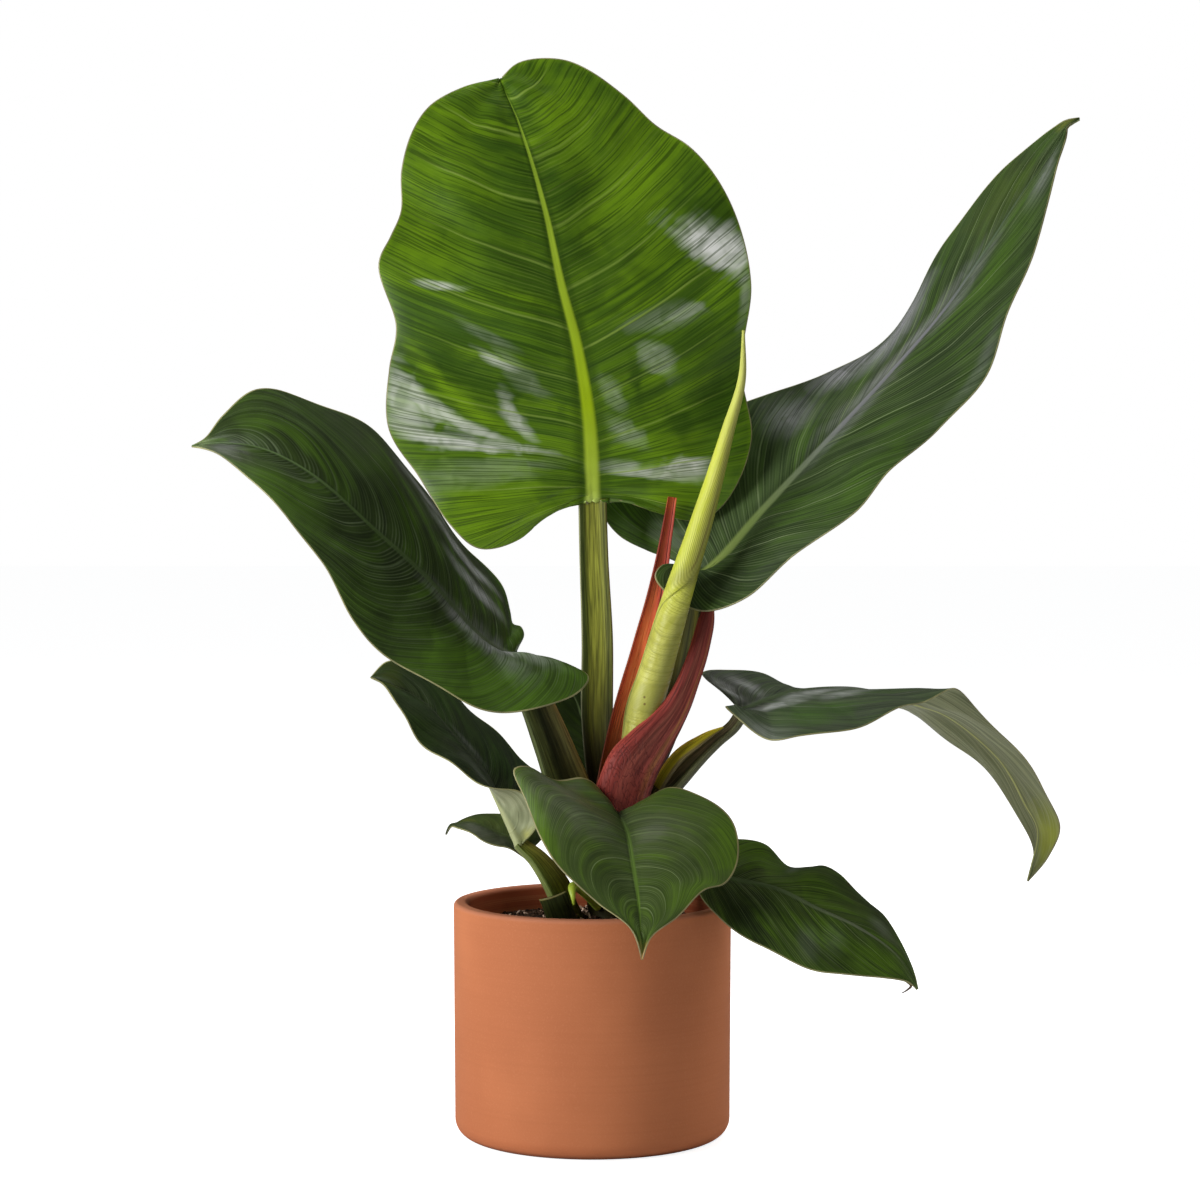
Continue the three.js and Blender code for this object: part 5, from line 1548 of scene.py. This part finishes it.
MID_LEFT_BANDS = [
    (0.0, 0.050, 0.030, 0.007), (0.15, 0.066, 0.058, 0.010), (0.28, 0.078, 0.082, 0.012),
    (0.38, 0.062, 0.075, 0.012), (0.50, 0.056, 0.072, 0.016), (0.58, 0.066, 0.082, 0.024),
    (0.75, 0.06, 0.06, 0.02),
]
OLIVE_BANDS = [
    (0.0, 0.04, 0.036, 0.012), (0.08, 0.14, 0.14, 0.06), (0.14, 0.03, 0.03, 0.01), (0.30, 0.07, 0.075, 0.018),
    (0.44, 0.03, 0.034, 0.01), (0.5, 0.15, 0.15, 0.07), (0.58, 0.035, 0.03, 0.01), (0.8, 0.04, 0.04, 0.012),
]
# The upper right leaf's stalk lies behind the rolled leaf: its bands are darkened, as painted shade
SHADED_BANDS = [
    (0.0, 0.070, 0.072, 0.014), (0.10, 0.022, 0.022, 0.006), (0.20, 0.085, 0.080, 0.014),
    (0.30, 0.028, 0.030, 0.007), (0.40, 0.095, 0.090, 0.018), (0.50, 0.032, 0.034, 0.008),
    (0.58, 0.110, 0.100, 0.040), (0.64, 0.024, 0.024, 0.007), (0.9, 0.060, 0.060, 0.014),
]
# Bands of the sheaths: 0 is one free edge, 0.5 the other, and the rest the hollow side
RED_BANDS = [
    (0.0, 0.30, 0.10, 0.06), (0.25, 0.22, 0.05, 0.025), (0.50, 0.70, 0.17, 0.10), (0.53, 0.56, 0.08, 0.045),
    (0.575, 0.66, 0.11, 0.05), (0.60, 0.13, 0.016, 0.010), (0.625, 0.78, 0.13, 0.07),
    (0.69, 0.92, 0.18, 0.08), (0.78, 0.98, 0.25, 0.09), (0.87, 0.96, 0.20, 0.08),
    (0.93, 0.70, 0.11, 0.06), (0.97, 0.40, 0.08, 0.05),
    (0.985, 0.75, 0.38, 0.28),
]
MAROON_BANDS = [
    (0.0, 0.20, 0.050, 0.044), (0.035, 0.32, 0.12, 0.105), (0.065, 0.16, 0.026, 0.022),
    (0.13, 0.28, 0.056, 0.042), (0.16, 0.34, 0.13, 0.045), (0.19, 0.27, 0.056, 0.042),
    (0.25, 0.15, 0.036, 0.026), (0.29, 0.17, 0.050, 0.034), (0.33, 0.14, 0.026, 0.020),
    (0.39, 0.19, 0.030, 0.023), (0.44, 0.27, 0.040, 0.030), (0.485, 0.42, 0.085, 0.060),
    (0.51, 0.18, 0.036, 0.028), (0.9, 0.16, 0.030, 0.024),
]
STUB_BANDS = [
    (0.0, 0.03, 0.038, 0.010), (0.25, 0.022, 0.030, 0.007), (0.5, 0.035, 0.042, 0.010),
    (0.8, 0.02, 0.02, 0.008),
]

# Each stalk's bands, how light they are, how much it shines, and the tone of its foot with the mm down the
# stalk where that starts and is full, and its strength
PLAIN_STALK = {
    "bands": OLIVE_BANDS, "foot": (colour(0.02, 0.016, 0.006), 60.0, 110.0, 0.88), "gain": 1.0,
    "specular": 0.2,
}
STALK_LOOKS = {
    "leaf_upright": {
        **PLAIN_STALK, "bands": UPRIGHT_BANDS, "foot": (colour(0.022, 0.014, 0.004), 105.0, 165.0, 0.88)},
    "leaf_left": {
        **PLAIN_STALK, "bands": LEFT_BANDS, "foot": (colour(0.03, 0.022, 0.008), 95.0, 140.0, 0.8),
        "gain": 2.0},
    "leaf_upper_right": {
        **PLAIN_STALK, "bands": SHADED_BANDS, "foot": (colour(0.02, 0.014, 0.005), 45.0, 75.0, 0.9),
        "specular": 0.05},
    "leaf_drooping": {
        **PLAIN_STALK, "bands": DROOPING_BANDS, "foot": (colour(0.02, 0.014, 0.005), 70.0, 105.0, 0.88),
        "gain": 1.2},
    "leaf_mid_left": {
        **PLAIN_STALK, "bands": MID_LEFT_BANDS, "foot": (colour(0.06, 0.055, 0.014), 60.0, 95.0, 0.5),
        "gain": 2.7},
}

# End tones of the sheaths and the flap: tone, where it starts and is full in mm from the tip, its strength
RED_ENDS = [
    (colour(0.37, 0.038, 0.036), 90.0, 25.0, 0.75), (colour(0.75, 0.16, 0.055), 12.0, 1.0, 0.85),
    (colour(0.11, 0.028, 0.016), 120.0, 165.0, 0.85),
]
MAROON_ENDS = [
    (colour(0.23, 0.038, 0.032), 60.0, 5.0, 0.6), (colour(0.30, 0.040, 0.028), 95.0, 150.0, 0.65),
]
STUB_ENDS = [(colour(0.012, 0.012, 0.005), 10.0, 28.0, 0.8), (colour(0.20, 0.18, 0.06), 1.3, 0.4, 0.9)]
FLAP_ENDS = [(colour(0.045, 0.030, 0.01), 42.0, 66.0, 0.8)]
# Long creases: tone, place round the sheath, half width and strength
RED_CREASES = [
    (colour(0.70, 0.21, 0.13), 0.560, 0.022, 0.55), (colour(0.07, 0.008, 0.007), 0.605, 0.030, 0.85),
]
MAROON_CREASES = [
    (colour(0.075, 0.020, 0.020), 0.045, 0.060, 0.6), (colour(0.48, 0.15, 0.11), 0.135, 0.012, 0.5),
]


# Build


def build_leaves(fibres):
    blade_veins = vein_group()
    spot = spot_group()
    margin = plain_skin("blade_margin", CREAM)
    flap = banded_skin("flap_skin", fibres, FLAP_BANDS, FLAP_ENDS, gain=2.2)
    for index, leaf in enumerate(LEAVES):
        name = leaf["name"]
        upper = upper_side(name + "_upper", blade_veins, spot, LOOKS[name])
        under = under_side(name + "_under", blade_veins, spot, LOOKS[name])
        add_blade(leaf, [upper, under, margin], FIRST_SEED + index)
        look = STALK_LOOKS.get(name, PLAIN_STALK)
        skins = [banded_skin(name + "_stalk_skin", fibres, look["bands"], [look["foot"]], look["gain"],
                             specular=look["specular"])]
        if "flap" in leaf["stalk"]:
            skins.append(flap)
        add_stalk(leaf, skins)
    add_withered_tip(plain_skin("withered_skin", WITHERED_BROWN))


def build_middle(fibres):
    add_spear(spear_material(fibres))
    red = banded_skin("red_sheath_skin", fibres, RED_BANDS, RED_ENDS, gain=1.35,
                      threads=colour(0.22, 0.03, 0.02), creases=RED_CREASES)
    maroon = banded_skin("maroon_sheath_skin", fibres, MAROON_BANDS, MAROON_ENDS, gain=1.25,
                         threads=colour(0.09, 0.013, 0.012), creases=MAROON_CREASES,
                         net=(colour(0.06, 0.008, 0.007), 85.0, 125.0), roughness=0.5)
    stub = banded_skin("stub_skin", fibres, STUB_BANDS, STUB_ENDS)
    add_trough("back_sheath_fine", BACK_SHEATH, red, "back_sheath", "red_sheath")
    add_trough("front_sheath_fine", FRONT_SHEATH, maroon, "front_sheath", "maroon_sheath")
    add_trough("old_sheath_stub_fine", STUB, stub, "old_sheath_stub", "stalk")
    add_sprout(plain_skin("sprout_skin", SPROUT_GREEN))
    add_stem(banded_skin("stem_skin", fibres, OLIVE_BANDS, [PLAIN_STALK["foot"]]))


def build_pot():
    add_pot(terracotta_material())
    add_soil(grainy_material("soil_skin", colour(0.012, 0.007, 0.004), colour(0.080, 0.046, 0.026), 320.0))
    crumb = grainy_material("crumb_skin", colour(0.016, 0.009, 0.005), colour(0.10, 0.055, 0.030), 400.0)
    grit = grainy_material("grit_skin", colour(0.30, 0.26, 0.22), colour(0.55, 0.50, 0.44), 300.0)
    bark = grainy_material("bark_skin", colour(0.40, 0.26, 0.17), colour(0.80, 0.60, 0.46), 260.0)
    strew("soil_crumbs", "lump", crumb, density=110000.0, seed=3, smallest=0.5, largest=1.9)
    strew("soil_grit", "lump", grit, density=3500.0, seed=8, smallest=0.5, largest=1.2)
    strew("soil_bark", "sliver", bark, density=13000.0, seed=5, smallest=1.2, largest=3.0)


# Stage


def floor_material():
    """Bright to the eye, so that it meets the white ground, but it gives the plant only its bounce."""
    skin = Skin("pale_floor")
    skin.body = FLOOR_TONE
    seen = Value(skin.tree, add(skin.tree, "ShaderNodeLightPath").outputs["Is Camera Ray"])
    put(skin.tree, skin.shader, {"Emission Color": WHITE, "Emission Strength": seen * FLOOR_GLOW})
    return skin.finish(0.9, 0.0)


def build_world():
    """White to the eye, dim as light, and dimmer still in reflections, so that dark leaves stay dark."""
    world = bpy.data.worlds.new("white_ground")
    bpy.context.scene.world = world
    world.use_nodes = True
    tree = world.node_tree
    tree.nodes.clear()
    seen, lighting, mirrored = (
        add(tree, "ShaderNodeBackground", {"Color": tone, "Strength": strength}).outputs[0]
        for tone, strength in ((WHITE, 1.0), (SKY_TONE, WORLD_LIGHT), (SKY_TONE, WORLD_MIRRORED)))
    path = add(tree, "ShaderNodeLightPath").outputs
    unseen = add(tree, "ShaderNodeMixShader", {0: path["Is Glossy Ray"], 1: lighting, 2: mirrored})
    mixed = add(tree, "ShaderNodeMixShader", {0: path["Is Camera Ray"], 1: unseen.outputs[0], 2: seen})
    add(tree, "ShaderNodeOutputWorld", {"Surface": mixed.outputs[0]})


def add_light(name, place, size, power, mirrored):
    data = bpy.data.lights.new(name, "AREA")
    data.shape = "RECTANGLE"
    data.size, data.size_y = size
    data.energy = power
    lamp = bpy.data.objects.new(name, data)
    lamp.location = place
    x, y, z = np.array(LIGHT_TARGET) - np.array(place)
    lamp.rotation_euler = (math.atan2(math.hypot(x, y), -z), 0, math.atan2(-x, y))
    lamp.visible_glossy = mirrored
    bpy.context.collection.objects.link(lamp)


def add_camera():
    data = bpy.data.cameras.new("camera")
    data.lens = CAMERA_LENS
    data.sensor_width = 36.0
    data.clip_end = 40.0
    camera = bpy.data.objects.new("camera", data)
    camera.location = CAMERA_PLACE
    camera.rotation_euler = (math.radians(90 - CAMERA_PITCH_DOWN), 0, 0)
    bpy.context.collection.objects.link(camera)
    bpy.context.scene.camera = camera


def build_stage():
    """A pale floor that runs back to a white ground, soft lights and the photograph's camera."""
    floor = add_piece("floor", FLOOR_CORNERS, [(0, 1, 2, 3)])
    floor.data.materials.append(floor_material())
    build_world()
    for name, light in LIGHTS.items():
        add_light(name, *light)
    add_camera()
    bpy.context.scene.view_settings.view_transform = "Standard"


long_fibres = fibre_group()
build_leaves(long_fibres)
build_middle(long_fibres)
build_pot()
build_stage()
